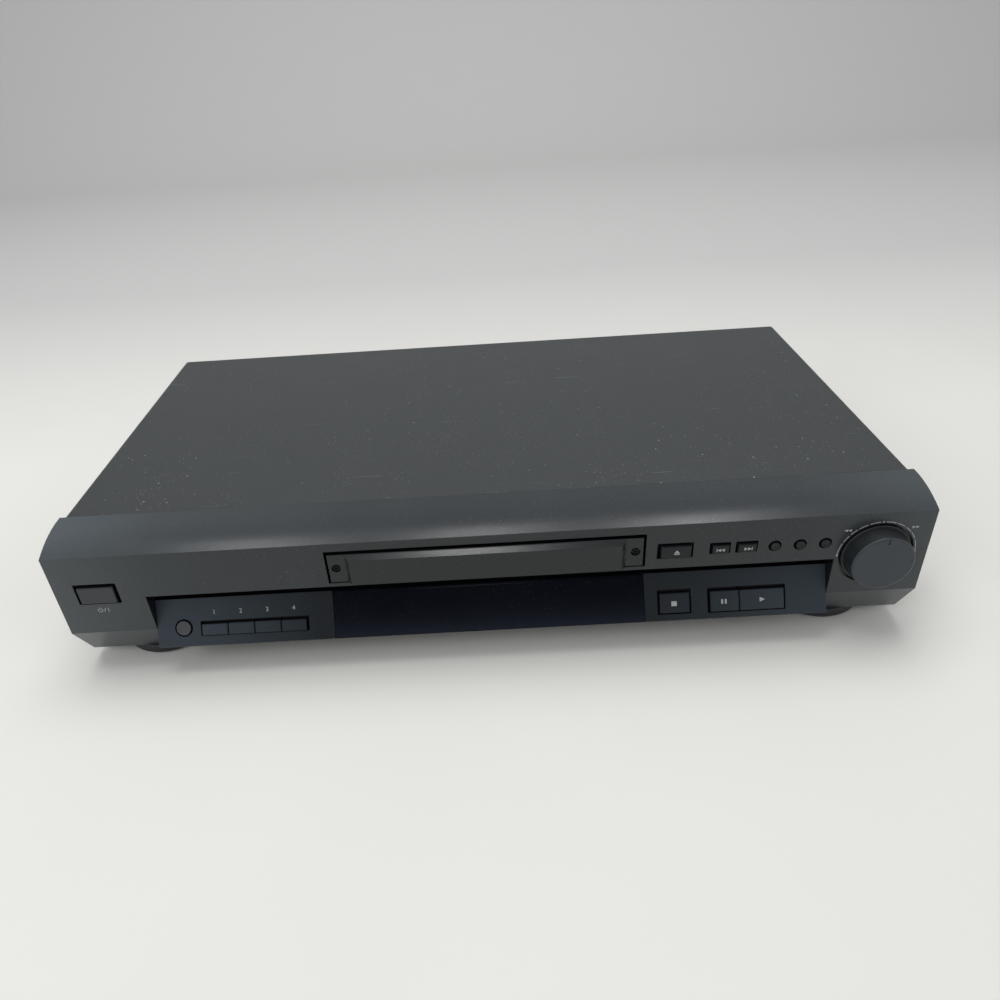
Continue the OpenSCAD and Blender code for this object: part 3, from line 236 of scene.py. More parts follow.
def select_parts(piece, kind, chosen):
    """Select a piece's points (VERT) or faces (FACE) that fit, and stay in edit mode."""
    make_active(piece)
    bpy.ops.object.mode_set(mode="EDIT")
    bpy.ops.mesh.select_mode(type=kind)
    bpy.ops.mesh.select_all(action="DESELECT")
    bpy.ops.object.mode_set(mode="OBJECT")
    for part in piece.data.vertices if kind == "VERT" else piece.data.polygons:
        part.select = chosen(part)
    bpy.ops.object.mode_set(mode="EDIT")


def nudge(piece, chosen, shift):
    """Move the chosen points of a piece."""
    select_parts(piece, "VERT", lambda point: chosen(point.co))
    bpy.ops.transform.translate(value=tuple(shift))
    bpy.ops.object.mode_set(mode="OBJECT")


def rim_middle(piece, inward):
    """Middle of the rim of a cap's face, in the cap's own x and y."""
    rim = [inward @ v.co for v in piece.data.vertices if (inward @ v.co).z > CAP_RIM]
    return [(min(p[axis] for p in rim) + max(p[axis] for p in rim)) / 2 for axis in (0, 1)]


def draft_cap(piece, place, left, right, low, high):
    """Draw the rim of a cap's face inwards, so that its walls lean and its gap is wider."""
    inward = place.inverted()
    turn = place.to_3x3()
    mid_x, mid_y = rim_middle(piece, inward)

    def on_side(axis, mid, way):
        def chosen(co):
            local = inward @ co
            return local.z > CAP_RIM and (local[axis] - mid) * way > 0
        return chosen

    for axis, mid, way, size in ((0, mid_x, -1, left), (0, mid_x, 1, right),
                                 (1, mid_y, -1, low), (1, mid_y, 1, high)):
        if size:
            shift = Vector((0, 0, 0))
            shift[axis] = -way * size
            nudge(piece, on_side(axis, mid, way), turn @ shift)


def dish_cap(piece, place, shift, shrink, depth):
    """Make a round cap's face smaller and hollow it."""
    inward = place.inverted()
    turn = place.to_3x3()
    centre = place @ Vector((*rim_middle(piece, inward), 0))
    select_parts(piece, "VERT", lambda point: (inward @ point.co).z > CAP_RIM)
    bpy.ops.transform.resize(value=(shrink, 1 if abs(turn[1][2]) > 0.99 else shrink, shrink),
                             center_override=tuple(centre))
    bpy.ops.transform.translate(value=tuple(turn @ Vector((*shift, 0))))
    bpy.ops.object.mode_set(mode="OBJECT")
    out = turn @ Vector((0, 0, 1))
    top = max((inward @ v.co).z for v in piece.data.vertices)
    select_parts(piece, "FACE", lambda face: (
        face.normal.dot(out) > 0.99 and (inward @ face.center).z > top - 0.0001))
    for step in DISH_STEPS:
        bpy.ops.mesh.inset(thickness=step)
        bpy.ops.transform.translate(value=tuple(-out * depth))
    bpy.ops.object.mode_set(mode="OBJECT")


def soften(node, width, material, segments=2, limit=18.0, shape=None):
    """A copy of a solid with its edges rounded, which stands for it."""
    source = frame["nodes"][node]
    piece = source.copy()
    piece.data = source.data.copy()
    for key in list(piece.keys()):
        del piece[key]
    piece.parent = None
    piece.matrix_world = Matrix.Identity(4)
    bpy.context.scene.collection.objects.link(piece)
    rename(piece, node + "_soft")
    make_active(piece)
    bpy.ops.object.mode_set(mode="EDIT")
    bpy.ops.mesh.customdata_custom_splitnormals_clear()
    bpy.ops.mesh.select_all(action="SELECT")
    bpy.ops.mesh.remove_doubles(threshold=0.000002)
    bpy.ops.mesh.dissolve_limited(angle_limit=math.radians(0.4))
    bpy.ops.object.mode_set(mode="OBJECT")
    if shape:
        shape(piece)
    bpy.ops.object.shade_smooth()
    bevel = piece.modifiers.new("rounded edges", "BEVEL")
    bevel.width = width
    bevel.segments = segments
    bevel.limit_method = "ANGLE"
    bevel.angle_limit = math.radians(limit)
    bevel.use_clamp_overlap = True
    bevel.miter_outer = "MITER_ARC"
    bevel.harden_normals = False
    weigh = piece.modifiers.new("even shading", "WEIGHTED_NORMAL")
    weigh.weight = 100
    weigh.keep_sharp = False
    apply_modifiers(piece)
    paint(piece, material)
    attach(piece, BODY_OF[node])
    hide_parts(node)
    return piece


def upright(x, z, reach=0.0):
    """Local x along the width, y up, z out of the upright face."""
    return Matrix((
        (1, 0, 0, x),
        (0, 0, -1, FACE_Y - reach),
        (0, 1, 0, z),
        (0, 0, 0, 1),
    ))


def tilted(x, v, reach=0.0):
    """Local x along the width, y up the lower panel's slope, z out of it."""
    s, c = math.sin(SLOPE), math.cos(SLOPE)
    return Matrix((
        (1, 0, 0, x),
        (0, s, -c, FACE_Y + v * s - reach * c),
        (0, c, s, CHIN_Z + v * c + reach * s),
        (0, 0, 0, 1),
    ))


def bar(x, y, w, h, turn=0.0):
    """Flat bar for a sign."""
    deselect()
    bpy.ops.mesh.primitive_plane_add(size=1, location=(x, y, 0), rotation=(0, 0, turn))
    piece = bpy.context.object
    piece.scale = (w, h, 1)
    return piece


def arrow(x, y, w, h, turn=0.0):
    """Flat triangle that points along +x before it is turned."""
    deselect()
    bpy.ops.mesh.primitive_circle_add(vertices=3, radius=1, fill_type="NGON")
    piece = bpy.context.object
    piece.rotation_euler = (0, 0, -math.pi / 2)
    apply_place(piece)
    piece.scale = (w / 1.5, h / math.sqrt(3), 1)
    apply_place(piece)
    piece.location = (-w / 6, 0, 0)
    apply_place(piece)
    piece.rotation_euler = (0, 0, turn)
    piece.location = (x, y, 0)
    return piece


def arc(x, y, radius, width, start, sweep, steps=24):
    """Flat band round part of a circle, swept by spinning a bar's edge."""
    deselect()
    bpy.ops.mesh.primitive_plane_add(size=1, location=(x + radius, y, 0))
    piece = bpy.context.object
    piece.scale = (width, width, 1)
    apply_place(piece)
    bpy.ops.object.mode_set(mode="EDIT")
    bpy.ops.mesh.select_all(action="SELECT")
    bpy.ops.mesh.delete(type="ONLY_FACE")
    bpy.ops.object.mode_set(mode="OBJECT")
    low = min(v.co.y for v in piece.data.vertices)
    for v in piece.data.vertices:
        v.select = v.co.y > low + width / 2
    bpy.ops.object.mode_set(mode="EDIT")
    bpy.ops.mesh.delete(type="VERT")
    bpy.ops.mesh.select_all(action="SELECT")
    bpy.ops.transform.translate(value=(0, width / 2, 0))
    bpy.ops.transform.rotate(value=-start, orient_axis="Z", center_override=(x, y, 0))
    bpy.ops.mesh.spin(steps=steps, angle=-sweep, center=(x, y, 0), axis=(0, 0, 1))
    bpy.ops.object.mode_set(mode="OBJECT")
    return piece


def numeral(text, x, y, size):
    """Plain numeral as a flat mesh."""
    deselect()
    bpy.ops.object.text_add(location=(x, y, 0))
    piece = bpy.context.object
    piece.data.body = text
    piece.data.size = size
    piece.data.align_x = "CENTER"
    piece.data.align_y = "CENTER"
    piece.data.resolution_u = 4
    bpy.ops.object.convert(target="MESH")
    return bpy.context.object


def print_sign(name, shapes, place, body, material):
    """Join flat shapes into one thin printed sign and lay it on its surface."""
    for shape in shapes:
        apply_place(shape)
    deselect()
    for shape in shapes:
        shape.select_set(True)
    bpy.context.view_layer.objects.active = shapes[0]
    if len(shapes) > 1:
        bpy.ops.object.join()
    piece = rename(bpy.context.object, name)
    make_active(piece)
    bpy.ops.object.mode_set(mode="EDIT")
    bpy.ops.mesh.select_all(action="SELECT")
    bpy.ops.mesh.remove_doubles(threshold=0.000001)
    bpy.ops.mesh.normals_make_consistent(inside=False)
    bpy.ops.object.mode_set(mode="OBJECT")
    if piece.data.polygons[0].normal.z < 0:
        bpy.ops.object.mode_set(mode="EDIT")
        bpy.ops.mesh.select_all(action="SELECT")
        bpy.ops.mesh.flip_normals()
        bpy.ops.object.mode_set(mode="OBJECT")
    wall = piece.modifiers.new("ink", "SOLIDIFY")
    wall.thickness = SIGN_T
    wall.offset = 0.0
    apply_modifiers(piece)
    piece.matrix_world = place
    apply_place(piece)
    paint(piece, material)
    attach(piece, body)
    return piece


# ---- materials -------------------------------------------------------------------------


def start_material(name):
    """A new material with its shader, and the node tree to add to."""
    material = bpy.data.materials.new(name)
    material.use_nodes = True
    tree = material.node_tree
    shader = tree.nodes["Principled BSDF"]
    return material, tree, shader


def object_noise(tree, scale, detail=3.0, rough=0.55, stretch=None):
    """Noise on the piece's own coordinates."""
    place = tree.nodes.new("ShaderNodeTexCoord")
    noise = tree.nodes.new("ShaderNodeTexNoise")
    noise.inputs["Scale"].default_value = scale
    noise.inputs["Detail"].default_value = detail
    noise.inputs["Roughness"].default_value = rough
    if stretch:
        turn = tree.nodes.new("ShaderNodeMapping")
        turn.inputs["Scale"].default_value = stretch
        tree.links.new(place.outputs["Object"], turn.inputs["Vector"])
        tree.links.new(turn.outputs["Vector"], noise.inputs["Vector"])
    else:
        tree.links.new(place.outputs["Object"], noise.inputs["Vector"])
    return noise


def ramp(tree, source, stops):
    """Colour ramp fed by a factor; stops are (position, colour)."""
    node = tree.nodes.new("ShaderNodeValToRGB")
    elements = node.color_ramp.elements
    while len(elements) < len(stops):
        elements.new(0.5)
    for element, (position, colour) in zip(elements, stops):
        element.position = position
        element.color = (*colour, 1)
    tree.links.new(source, node.inputs["Fac"])
    return node


def shade(colour, k):
    """The colour made k times as bright."""
    return tuple(min(1.0, c * k) for c in colour)


def mottled(tree, noise, colour, dark, light, start=0.3, end=0.7):
    """A colour that a noise varies between two shades of it."""
    stops = [(start, shade(colour, dark)), (end, shade(colour, light))]
    return ramp(tree, noise.outputs["Fac"], stops).outputs["Color"]


def mix_colour(tree, factor, a, b):
    """Mix of two colours, sockets or values, by a factor socket."""
    node = tree.nodes.new("ShaderNodeMix")
    node.data_type = "RGBA"
    tree.links.new(factor, node.inputs["Factor"])
    for value, socket in ((a, node.inputs["A"]), (b, node.inputs["B"])):
        if isinstance(value, tuple):
            socket.default_value = (*value, 1)
        else:
            tree.links.new(value, socket)
    return node.outputs["Result"]


def multiply(tree, a, b):
    """Product of two colours."""
    node = tree.nodes.new("ShaderNodeMix")
    node.data_type = "RGBA"
    node.blend_type = "MULTIPLY"
    node.inputs["Factor"].default_value = 1.0
    tree.links.new(a, node.inputs["A"])
    tree.links.new(b, node.inputs["B"])
    return node.outputs["Result"]


def dust_factor(tree, scale, low, high):
    """Sparse specks: the cores of small cells, thinned by a broad noise."""
    place = tree.nodes.new("ShaderNodeTexCoord")
    cells = tree.nodes.new("ShaderNodeTexVoronoi")
    cells.inputs["Scale"].default_value = scale
    tree.links.new(place.outputs["Object"], cells.inputs["Vector"])
    core = ramp(tree, cells.outputs["Distance"], [(low, (1, 1, 1)), (high, (0, 0, 0))])
    broad = object_noise(tree, scale * 0.06, 2.0)
    thin = ramp(tree, broad.outputs["Fac"], [(0.40, (0, 0, 0)), (0.56, (1, 1, 1))])
    return both(tree, core.outputs["Color"], thin.outputs["Color"])


def scratch_factor(tree):
    """Sparse hairline marks that run along the width."""
    fine = object_noise(tree, 26.0, 1.0, 0.4, stretch=(1.0, 30.0, 30.0))
    line = ramp(tree, fine.outputs["Fac"], [(0.775, (0, 0, 0)), (0.80, (1, 1, 1))])
    return line.outputs["Color"]


def bump(tree, shader, height, strength, distance):
    """Bump on the shader's normal."""
    node = tree.nodes.new("ShaderNodeBump")
    node.inputs["Strength"].default_value = strength
    node.inputs["Distance"].default_value = distance
    tree.links.new(height, node.inputs["Height"])
    tree.links.new(node.outputs["Normal"], shader.inputs["Normal"])


def rough_range(tree, shader, source, low, high):
    """Roughness that varies over the surface."""
    node = tree.nodes.new("ShaderNodeMapRange")
    node.inputs["From Min"].default_value = 0.3
    node.inputs["From Max"].default_value = 0.7
    node.inputs["To Min"].default_value = low
    node.inputs["To Max"].default_value = high
    tree.links.new(source, node.inputs["Value"])
    tree.links.new(node.outputs["Result"], shader.inputs["Roughness"])


def inward_depth(tree, tilt):
    """Depth in metres behind the upright face, or behind the lower panel's slope."""
    place = tree.nodes.new("ShaderNodeTexCoord")
    along = tree.nodes.new("ShaderNodeVectorMath")
    along.operation = "DOT_PRODUCT"
    inward = (0.0, math.cos(tilt), -math.sin(tilt))
    along.inputs[1].default_value = inward
    tree.links.new(place.outputs["Object"], along.inputs[0])
    depth = tree.nodes.new("ShaderNodeMath")
    depth.operation = "SUBTRACT"
    depth.inputs[1].default_value = Vector(inward).dot(Vector((0.0, FACE_Y, CHIN_Z)))
    tree.links.new(along.outputs["Value"], depth.inputs[0])
    return depth.outputs["Value"]


def step_factor(tree, value, low, high):
    """One where a value is over high, nought where it is under low."""
    node = tree.nodes.new("ShaderNodeMapRange")
    node.inputs["From Min"].default_value = low
    node.inputs["From Max"].default_value = high
    tree.links.new(value, node.inputs["Value"])
    return node.outputs["Result"]


def both(tree, a, b):
    """Product of two factors."""
    node = tree.nodes.new("ShaderNodeMath")
    node.operation = "MULTIPLY"
    tree.links.new(a, node.inputs[0])
    tree.links.new(b, node.inputs[1])
    return node.outputs["Value"]


def sides_of(tree):
    """Object coordinates x, y and z as three sockets."""
    place = tree.nodes.new("ShaderNodeTexCoord")
    split = tree.nodes.new("ShaderNodeSeparateXYZ")
    tree.links.new(place.outputs["Object"], split.inputs["Vector"])
    return split.outputs["X"], split.outputs["Y"], split.outputs["Z"]


def front_painted_light(tree):
    """Painted light and shade along the front's width and from its face back to the cover."""
    x, y, _ = sides_of(tree)
    along = ramp(tree, step_factor(tree, x, FACE_LOW[0], FACE_HIGH[0]), grey_stops(FRONT_PAINTED_LIGHT))
    back = ramp(tree, step_factor(tree, y, FACE_Y, FACE_Y + BROW_DEPTH), grey_stops(BROW_PAINTED_LIGHT))
    total = tree.nodes.new("ShaderNodeMath")
    tree.links.new(along.outputs["Color"], total.inputs[0])
    tree.links.new(back.outputs["Color"], total.inputs[1])
    return total.outputs["Value"]


def lower_painted_light(tree):
    """Painted light and shade along the lower panel's width, darkest beside the window."""
    x = sides_of(tree)[0]
    along = ramp(tree, step_factor(tree, x, FACE_LOW[0], FACE_HIGH[0]), grey_stops(LOWER_PAINTED_LIGHT))
    return along.outputs["Color"]


def grey_stops(tones):
    """Stops of a ramp of greys."""
    return [(place, (tone, tone, tone)) for place, tone in tones]


def key_skirt_painted_shade(tree, tilt):
    """Factor of the painted shade on a key's skirt, below its face."""
    return step_factor(tree, inward_depth(tree, tilt), -0.00045, -0.00015)


def tray_front_painted_shade(tree):
    """Factor of the painted shade on the tray front's edges and screw wells, behind its tabs'
    faces.
    """
    return step_factor(tree, sides_of(tree)[1], FACE_Y + 0.0007, FACE_Y + 0.0010)


def dial_wall_painted_shade(tree):
    """Factor of the dial's side wall behind the rim of its face, where a darker copy of the front
    colour is painted as shade.
    """
    return step_factor(tree, sides_of(tree)[1], DIAL_LOW[1] + 0.0009, DIAL_LOW[1] + 0.0012)


def shell_recess_painted_shade(tree):
    """Factor of the painted shade on the front shell's inner walls: mouth, recess and key
    openings.
    """
    x, y, z = sides_of(tree)
    wide = tree.nodes.new("ShaderNodeMath")
    wide.operation = "ABSOLUTE"
    tree.links.new(x, wide.inputs[0])
    deep = step_factor(tree, y, FACE_Y + 0.0004, FACE_Y + 0.0008)
    inside = step_factor(tree, wide.outputs["Value"], OPENINGS_HALF + 0.0005,
                         OPENINGS_HALF - 0.0005)
    low = step_factor(tree, z, CHIN_Z + 0.0008, CHIN_Z + 0.002)
    high = step_factor(tree, z, FACE_HIGH[2] - 0.0072, FACE_HIGH[2] - 0.0076)
    return both(tree, both(tree, deep, inside), both(tree, low, high))


def textured_paint(name, colour):
    """Fine-grained baked paint on steel, with dust and light handling marks."""
    material, tree, shader = start_material(name)
    broad = object_noise(tree, 9.0, 4.0)
    base = mottled(tree, broad, colour, 0.93, 1.07)
    grain = object_noise(tree, 2600.0, 2.0, 0.6)
    fleck = ramp(tree, grain.outputs["Fac"], [(0.36, (0.72, 0.72, 0.72)), (0.66, (1.3, 1.3, 1.3))])
    grained = multiply(tree, base, fleck.outputs["Color"])
    flat = step_factor(tree, sides_of(tree)[2], COVER_TOP - 0.0015, COVER_TOP - 0.0005)
    dust = both(tree, flat, dust_factor(tree, 420.0, 0.07, 0.13))
    result = mix_colour(tree, dust, grained, (0.26, 0.27, 0.27))
    lint = both(tree, flat, dust_factor(tree, 150.0, 0.04, 0.085))
    result = mix_colour(tree, lint, result, (0.34, 0.35, 0.35))
    scratches = both(tree, flat, scratch_factor(tree))
    result = mix_colour(tree, scratches, result, (0.11, 0.12, 0.12))
    tree.links.new(result, shader.inputs["Base Color"])
    rough_range(tree, shader, broad.outputs["Fac"], 0.38, 0.46)
    bump(tree, shader, grain.outputs["Fac"], 0.35, 0.0002)
    shader.inputs["Specular IOR Level"].default_value = 0.8
    return material


def satin_plastic(name, colour, low=0.40, high=0.50, grain_scale=1900.0, grain=0.12, specks=0.0,
                  dark=None, gloss=0.4, dark_colour=PAINTED_SHADE_DARK, tone=None):
    """Moulded satin plastic: faint grain, slow change of colour and sheen, painted light from a
    tone, painted shade on inner walls.
    """
    material, tree, shader = start_material(name)
    broad = object_noise(tree, 14.0, 4.0)
    base = mottled(tree, broad, colour, 0.94, 1.06)
    fine = object_noise(tree, grain_scale, 2.0, 0.6)
    fleck = ramp(tree, fine.outputs["Fac"], [(0.35, (0.9, 0.9, 0.9)), (0.65, (1.1, 1.1, 1.1))])
    result = multiply(tree, base, fleck.outputs["Color"])
    # A tone multiplies in painted light and shade.
    if tone:
        result = multiply(tree, result, tone(tree))
    if specks:
        dust = dust_factor(tree, 520.0, 0.04, 0.09)
        result = mix_colour(tree, dust, result, shade((0.3, 0.3, 0.3), specks))
    # The dark mask lays painted shade on inner walls.
    if dark:
        result = mix_colour(tree, dark(tree), result, dark_colour)
    tree.links.new(result, shader.inputs["Base Color"])
    shader.inputs["Specular IOR Level"].default_value = gloss
    rough_range(tree, shader, broad.outputs["Fac"], low, high)
    bump(tree, shader, fine.outputs["Fac"], grain, 0.00012)
    return material


def smoked_window(name, colour):
    """Polished smoked plastic with a little settled dust, and painted light that grows towards its
    foot.
    """
    material, tree, shader = start_material(name)
    broad = object_noise(tree, 30.0, 4.0)
    dust = dust_factor(tree, 900.0, 0.05, 0.12)
    haze = mottled(tree, broad, colour, 0.9, 1.2, 0.35, 0.75)
    # Painted light: the colour grows lighter towards the window's foot.
    low = step_factor(tree, sides_of(tree)[2], WINDOW_LIGHT_TOP, WINDOW_LIGHT_FOOT)
    film = mix_colour(tree, both(tree, low, both(tree, low, low)), haze, (0.0140, 0.0165, 0.0245))
    result = mix_colour(tree, dust, film, (0.10, 0.11, 0.12))
    tree.links.new(result, shader.inputs["Base Color"])
    rough_range(tree, shader, broad.outputs["Fac"], 0.12, 0.22)
    bump(tree, shader, broad.outputs["Fac"], 0.05, 0.0002)
    shader.inputs["Specular IOR Level"].default_value = 0.03
    return material


def zinc_steel(name, colour=(0.52, 0.53, 0.54)):
    """Bright plated sheet with rolling marks."""
    material, tree, shader = start_material(name)
    drawn = object_noise(tree, 60.0, 5.0, 0.6, stretch=(1.0, 12.0, 12.0))
    tree.links.new(mottled(tree, drawn, colour, 0.85, 1.12), shader.inputs["Base Color"])
    shader.inputs["Metallic"].default_value = 1.0
    rough_range(tree, shader, drawn.outputs["Fac"], 0.28, 0.42)
    bump(tree, shader, drawn.outputs["Fac"], 0.08, 0.0001)
    return material


def plated_jack(name, colour=(0.78, 0.62, 0.34)):
    """Plated jack shells, faintly dulled."""
    material, tree, shader = start_material(name)
    dull = object_noise(tree, 300.0, 3.0)
    tree.links.new(mottled(tree, dull, colour, 0.82, 1.0), shader.inputs["Base Color"])
    shader.inputs["Metallic"].default_value = 1.0
    rough_range(tree, shader, dull.outputs["Fac"], 0.18, 0.32)
    return material


def soft_pad(name, colour=(0.028, 0.029, 0.030)):
    """Matt soft foam or rubber with an open surface."""
    material, tree, shader = start_material(name)
    pores = object_noise(tree, 1500.0, 4.0, 0.7)
    tree.links.new(mottled(tree, pores, colour, 0.6, 1.4, 0.35, 0.65), shader.inputs["Base Color"])
    rough_range(tree, shader, pores.outputs["Fac"], 0.8, 0.95)
    bump(tree, shader, pores.outputs["Fac"], 0.4, 0.0003)
    return material


def circuit_board(name, colour):
    """Laminate with tracks under the varnish."""
    material, tree, shader = start_material(name)
    place = tree.nodes.new("ShaderNodeTexCoord")
    tracks = tree.nodes.new("ShaderNodeTexBrick")
    tracks.inputs["Scale"].default_value = 90.0
    tracks.inputs["Color1"].default_value = (*shade(colour, 1.5), 1)
    tracks.inputs["Color2"].default_value = (*shade(colour, 1.25), 1)
    tracks.inputs["Mortar"].default_value = (*colour, 1)
    tracks.inputs["Mortar Size"].default_value = 0.03
    tree.links.new(place.outputs["Object"], tracks.inputs["Vector"])
    tree.links.new(tracks.outputs["Color"], shader.inputs["Base Color"])
    weave = object_noise(tree, 700.0, 2.0)
    rough_range(tree, shader, weave.outputs["Fac"], 0.3, 0.42)
    bump(tree, shader, tracks.outputs["Fac"], 0.1, 0.00005)
    return material


def tube_glass(name):
    """Dark coated glass of the display tube."""
    material, tree, shader = start_material(name)
    film = object_noise(tree, 40.0, 3.0)
    base = ramp(tree, film.outputs["Fac"],
                [(0.3, (0.03, 0.045, 0.05)), (0.7, (0.05, 0.07, 0.075))])
    tree.links.new(base.outputs["Color"], shader.inputs["Base Color"])
    rough_range(tree, shader, film.outputs["Fac"], 0.05, 0.1)
    return material


def printed_ink(name, colour):
    """Screen-printed ink, slightly uneven."""
    material, tree, shader = start_material(name)
    spread = object_noise(tree, 2200.0, 2.0)
    tree.links.new(mottled(tree, spread, colour, 0.8, 1.0, 0.3, 0.65), shader.inputs["Base Color"])
    rough_range(tree, shader, spread.outputs["Fac"], 0.5, 0.65)
    return material


def make_finishes():
    """All the finishes, by name."""
    colours = bpy.context.scene.disc_player_colours
    front = tuple(colours.front)
    lower = tuple(colours.lower)
    return {
        "cover_paint": textured_paint("cover_paint", tuple(colours.cover)),
        "front_plastic": satin_plastic(
            "front_plastic", front, 0.23, 0.27, specks=0.7, dark=shell_recess_painted_shade, gloss=0.38,
            tone=front_painted_light),
        "tray_front_plastic": satin_plastic(
            "tray_front_plastic", shade(front, 0.5), 0.18, 0.22, specks=0.5,
            dark=tray_front_painted_shade, gloss=0.4),
        "key_plastic": satin_plastic(
            "key_plastic", shade(front, 0.5), 0.36, 0.44, gloss=0.25,
            dark=lambda tree: key_skirt_painted_shade(tree, 0.0)),
        "power_key_plastic": satin_plastic(
            "power_key_plastic", (0.031, 0.036, 0.044), 0.36, 0.44,
            dark=lambda tree: key_skirt_painted_shade(tree, 0.0)),
        "lower_key_plastic": satin_plastic(
            "lower_key_plastic", shade(lower, 1.15), 0.36, 0.44, gloss=0.22,
            dark=lambda tree: key_skirt_painted_shade(tree, SLOPE), tone=lower_painted_light),
        "memory_key_plastic": satin_plastic(
            "memory_key_plastic", (0.055, 0.061, 0.065), 0.36, 0.44,
            dark=lambda tree: key_skirt_painted_shade(tree, SLOPE)),
        # The dial's side wall gets painted shade: the front colour made darker.
        "dial_plastic": satin_plastic(
            "dial_plastic", (0.030, 0.037, 0.044), 0.34, 0.42, dark=dial_wall_painted_shade,
            dark_colour=shade(front, 0.55)),
        # Painted shade on the lower panel's surfaces deeper than 0.3 mm behind its slope.
        "lower_plastic": satin_plastic(
            "lower_plastic", lower, 0.38, 0.46, specks=0.4, gloss=0.2, tone=lower_painted_light,
            dark=lambda tree: step_factor(tree, inward_depth(tree, SLOPE), 0.0003, 0.0006)),
        "window_smoked": smoked_window("window_smoked", tuple(colours.window)),
        "black_plastic": satin_plastic(
            "black_plastic", (0.022, 0.023, 0.025), 0.42, 0.55, 900.0, 0.2),
        "tray_plastic": satin_plastic(
            "tray_plastic", (0.035, 0.037, 0.04), 0.45, 0.58, 1300.0, 0.2),
        "pale_acetal": satin_plastic("pale_acetal", (0.62, 0.62, 0.57), 0.38, 0.48),
        "parts_black": satin_plastic("parts_black", (0.03, 0.03, 0.034), 0.35, 0.5, 700.0, 0.15),
        "black_screw": satin_plastic(
            "black_screw", (0.004, 0.004, 0.005), 0.28, 0.4, 3000.0, 0.1, gloss=0.12),
        "pad_felt": soft_pad("pad_felt"),
        "zinc_steel": zinc_steel("zinc_steel"),
        "jack_metal": plated_jack("jack_metal"),
        "board_green": circuit_board("board_green", (0.03, 0.11, 0.045)),
        "board_brown": circuit_board("board_brown", (0.22, 0.13, 0.05)),
        "tube_glass": tube_glass("tube_glass"),
        "sign_ink": printed_ink("sign_ink", tuple(colours.sign)),
    }


FINISHES = {}


def finish_named(name):
    """One of the finishes, made at first use."""
    if not FINISHES:
        FINISHES.update(make_finishes())
    return FINISHES[name]


# ---- operators -------------------------------------------------------------------------


class DISCPLAYER_OT_finishes(bpy.types.Operator):
    """Give every solid the finish that its record slot names"""

    bl_idname = "disc_player.finishes"
    bl_label = "Finishes"

    def execute(self, context):
        """Paint each solid."""
        slots = {
            part["node"]: part["material_slot"]
            for part in frame["record"]["subparts"]
        }
        for name, node in frame["nodes"].items():
            paint(node, finish_named(slots[name]))
        return {"FINISHED"}


class DISCPLAYER_OT_case(bpy.types.Operator):
    """Softened case: cover, feet and screws"""

    bl_idname = "disc_player.case"
    bl_label = "Case"

    def execute(self, context):
        """Round the edges of the case's pieces."""
        edges = context.scene.disc_player_edges
        soften("top_cover", edges.cover, finish_named("cover_paint"))
        soften("cover_screws", edges.small, finish_named("black_screw"))
        for corner in ("front_left", "front_right", "rear_left", "rear_right"):
            soften("foot_" + corner, edges.cover, finish_named("black_plastic"))
        return {"FINISHED"}


class DISCPLAYER_OT_front(bpy.types.Operator):
    """Softened front: moulded shell, lower panel and display window"""

    bl_idname = "disc_player.front"
    bl_label = "Front"

    def execute(self, context):
        """Round the edges of the front's pieces."""
        edges = context.scene.disc_player_edges
        soften("front_panel", edges.shell, finish_named("front_plastic"))
        soften("lower_panel", edges.cover, finish_named("lower_plastic"))
        soften("display_window", edges.cover, finish_named("window_smoked"))
        return {"FINISHED"}


class DISCPLAYER_OT_tray(bpy.types.Operator):
    """Softened tray, its front and the two screws"""

    bl_idname = "disc_player.tray"
    bl_label = "Tray"

    def execute(self, context):
        """Round the edges of the tray's pieces."""
        edges = context.scene.disc_player_edges
        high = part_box("tray_front")[1][2]

        def lower_top(piece):
            nudge(piece, lambda co: co.z > high - 0.001, (0, 0, -TOP_DRAFT))

        soften("tray_front", edges.shell, finish_named("tray_front_plastic"), shape=lower_top)
        soften("disc_tray", edges.cover, finish_named("tray_plastic"))
        soften("tray_front_screws", edges.small, finish_named("black_screw"))
        return {"FINISHED"}


class DISCPLAYER_OT_keys(bpy.types.Operator):
    """Softened key caps and shuttle dial"""

    bl_idname = "disc_player.keys"
    bl_label = "Keys and dial"

    def execute(self, context):
        """Round the edges of the caps and the dial."""
        edges = context.scene.disc_player_edges
        for keys, spot, finish in ((UPPER_KEYS, upright, "key_plastic"),
                                   (LOWER_KEYS, tilted, "lower_key_plastic")):
            for key, at in keys.items():
                place = spot(*at)
                look = finish
                if key == "power_button":
                    look = "power_key_plastic"
                if key in CAP_DRAFT:
                    def shape(piece, place=place, key=key):
                        draft_cap(piece, place, *CAP_DRAFT[key])
                elif key == "memory_button":
                    look = "memory_key_plastic"

                    def shape(piece, place=place):
                        dish_cap(piece, place, (0.0, 0.0), 0.94, 0.00008)
                else:
                    def shape(piece, place=place):
                        dish_cap(piece, place, (0.0002, -0.0002), 0.88, 0.00014)
                soften(key, edges.key, finish_named(look), shape=shape)
        soften("shuttle_knob", edges.cover, finish_named("dial_plastic"))
        return {"FINISHED"}


class DISCPLAYER_OT_rear(bpy.types.Operator):
    """Softened jacks and mains inlet"""

    bl_idname = "disc_player.rear"
    bl_label = "Rear fittings"

    def execute(self, context):
        """Round the edges of the rear fittings."""
        edges = context.scene.disc_player_edges
        soften("jack_block", edges.small, finish_named("black_plastic"))
        soften("s_video_jack", edges.small, finish_named("black_plastic"))
        soften("phono_insulators", edges.small, finish_named("black_plastic"))
        soften("phono_jacks", edges.small, finish_named("jack_metal"))
        soften("mains_inlet", edges.cover, finish_named("black_plastic"))
        return {"FINISHED"}


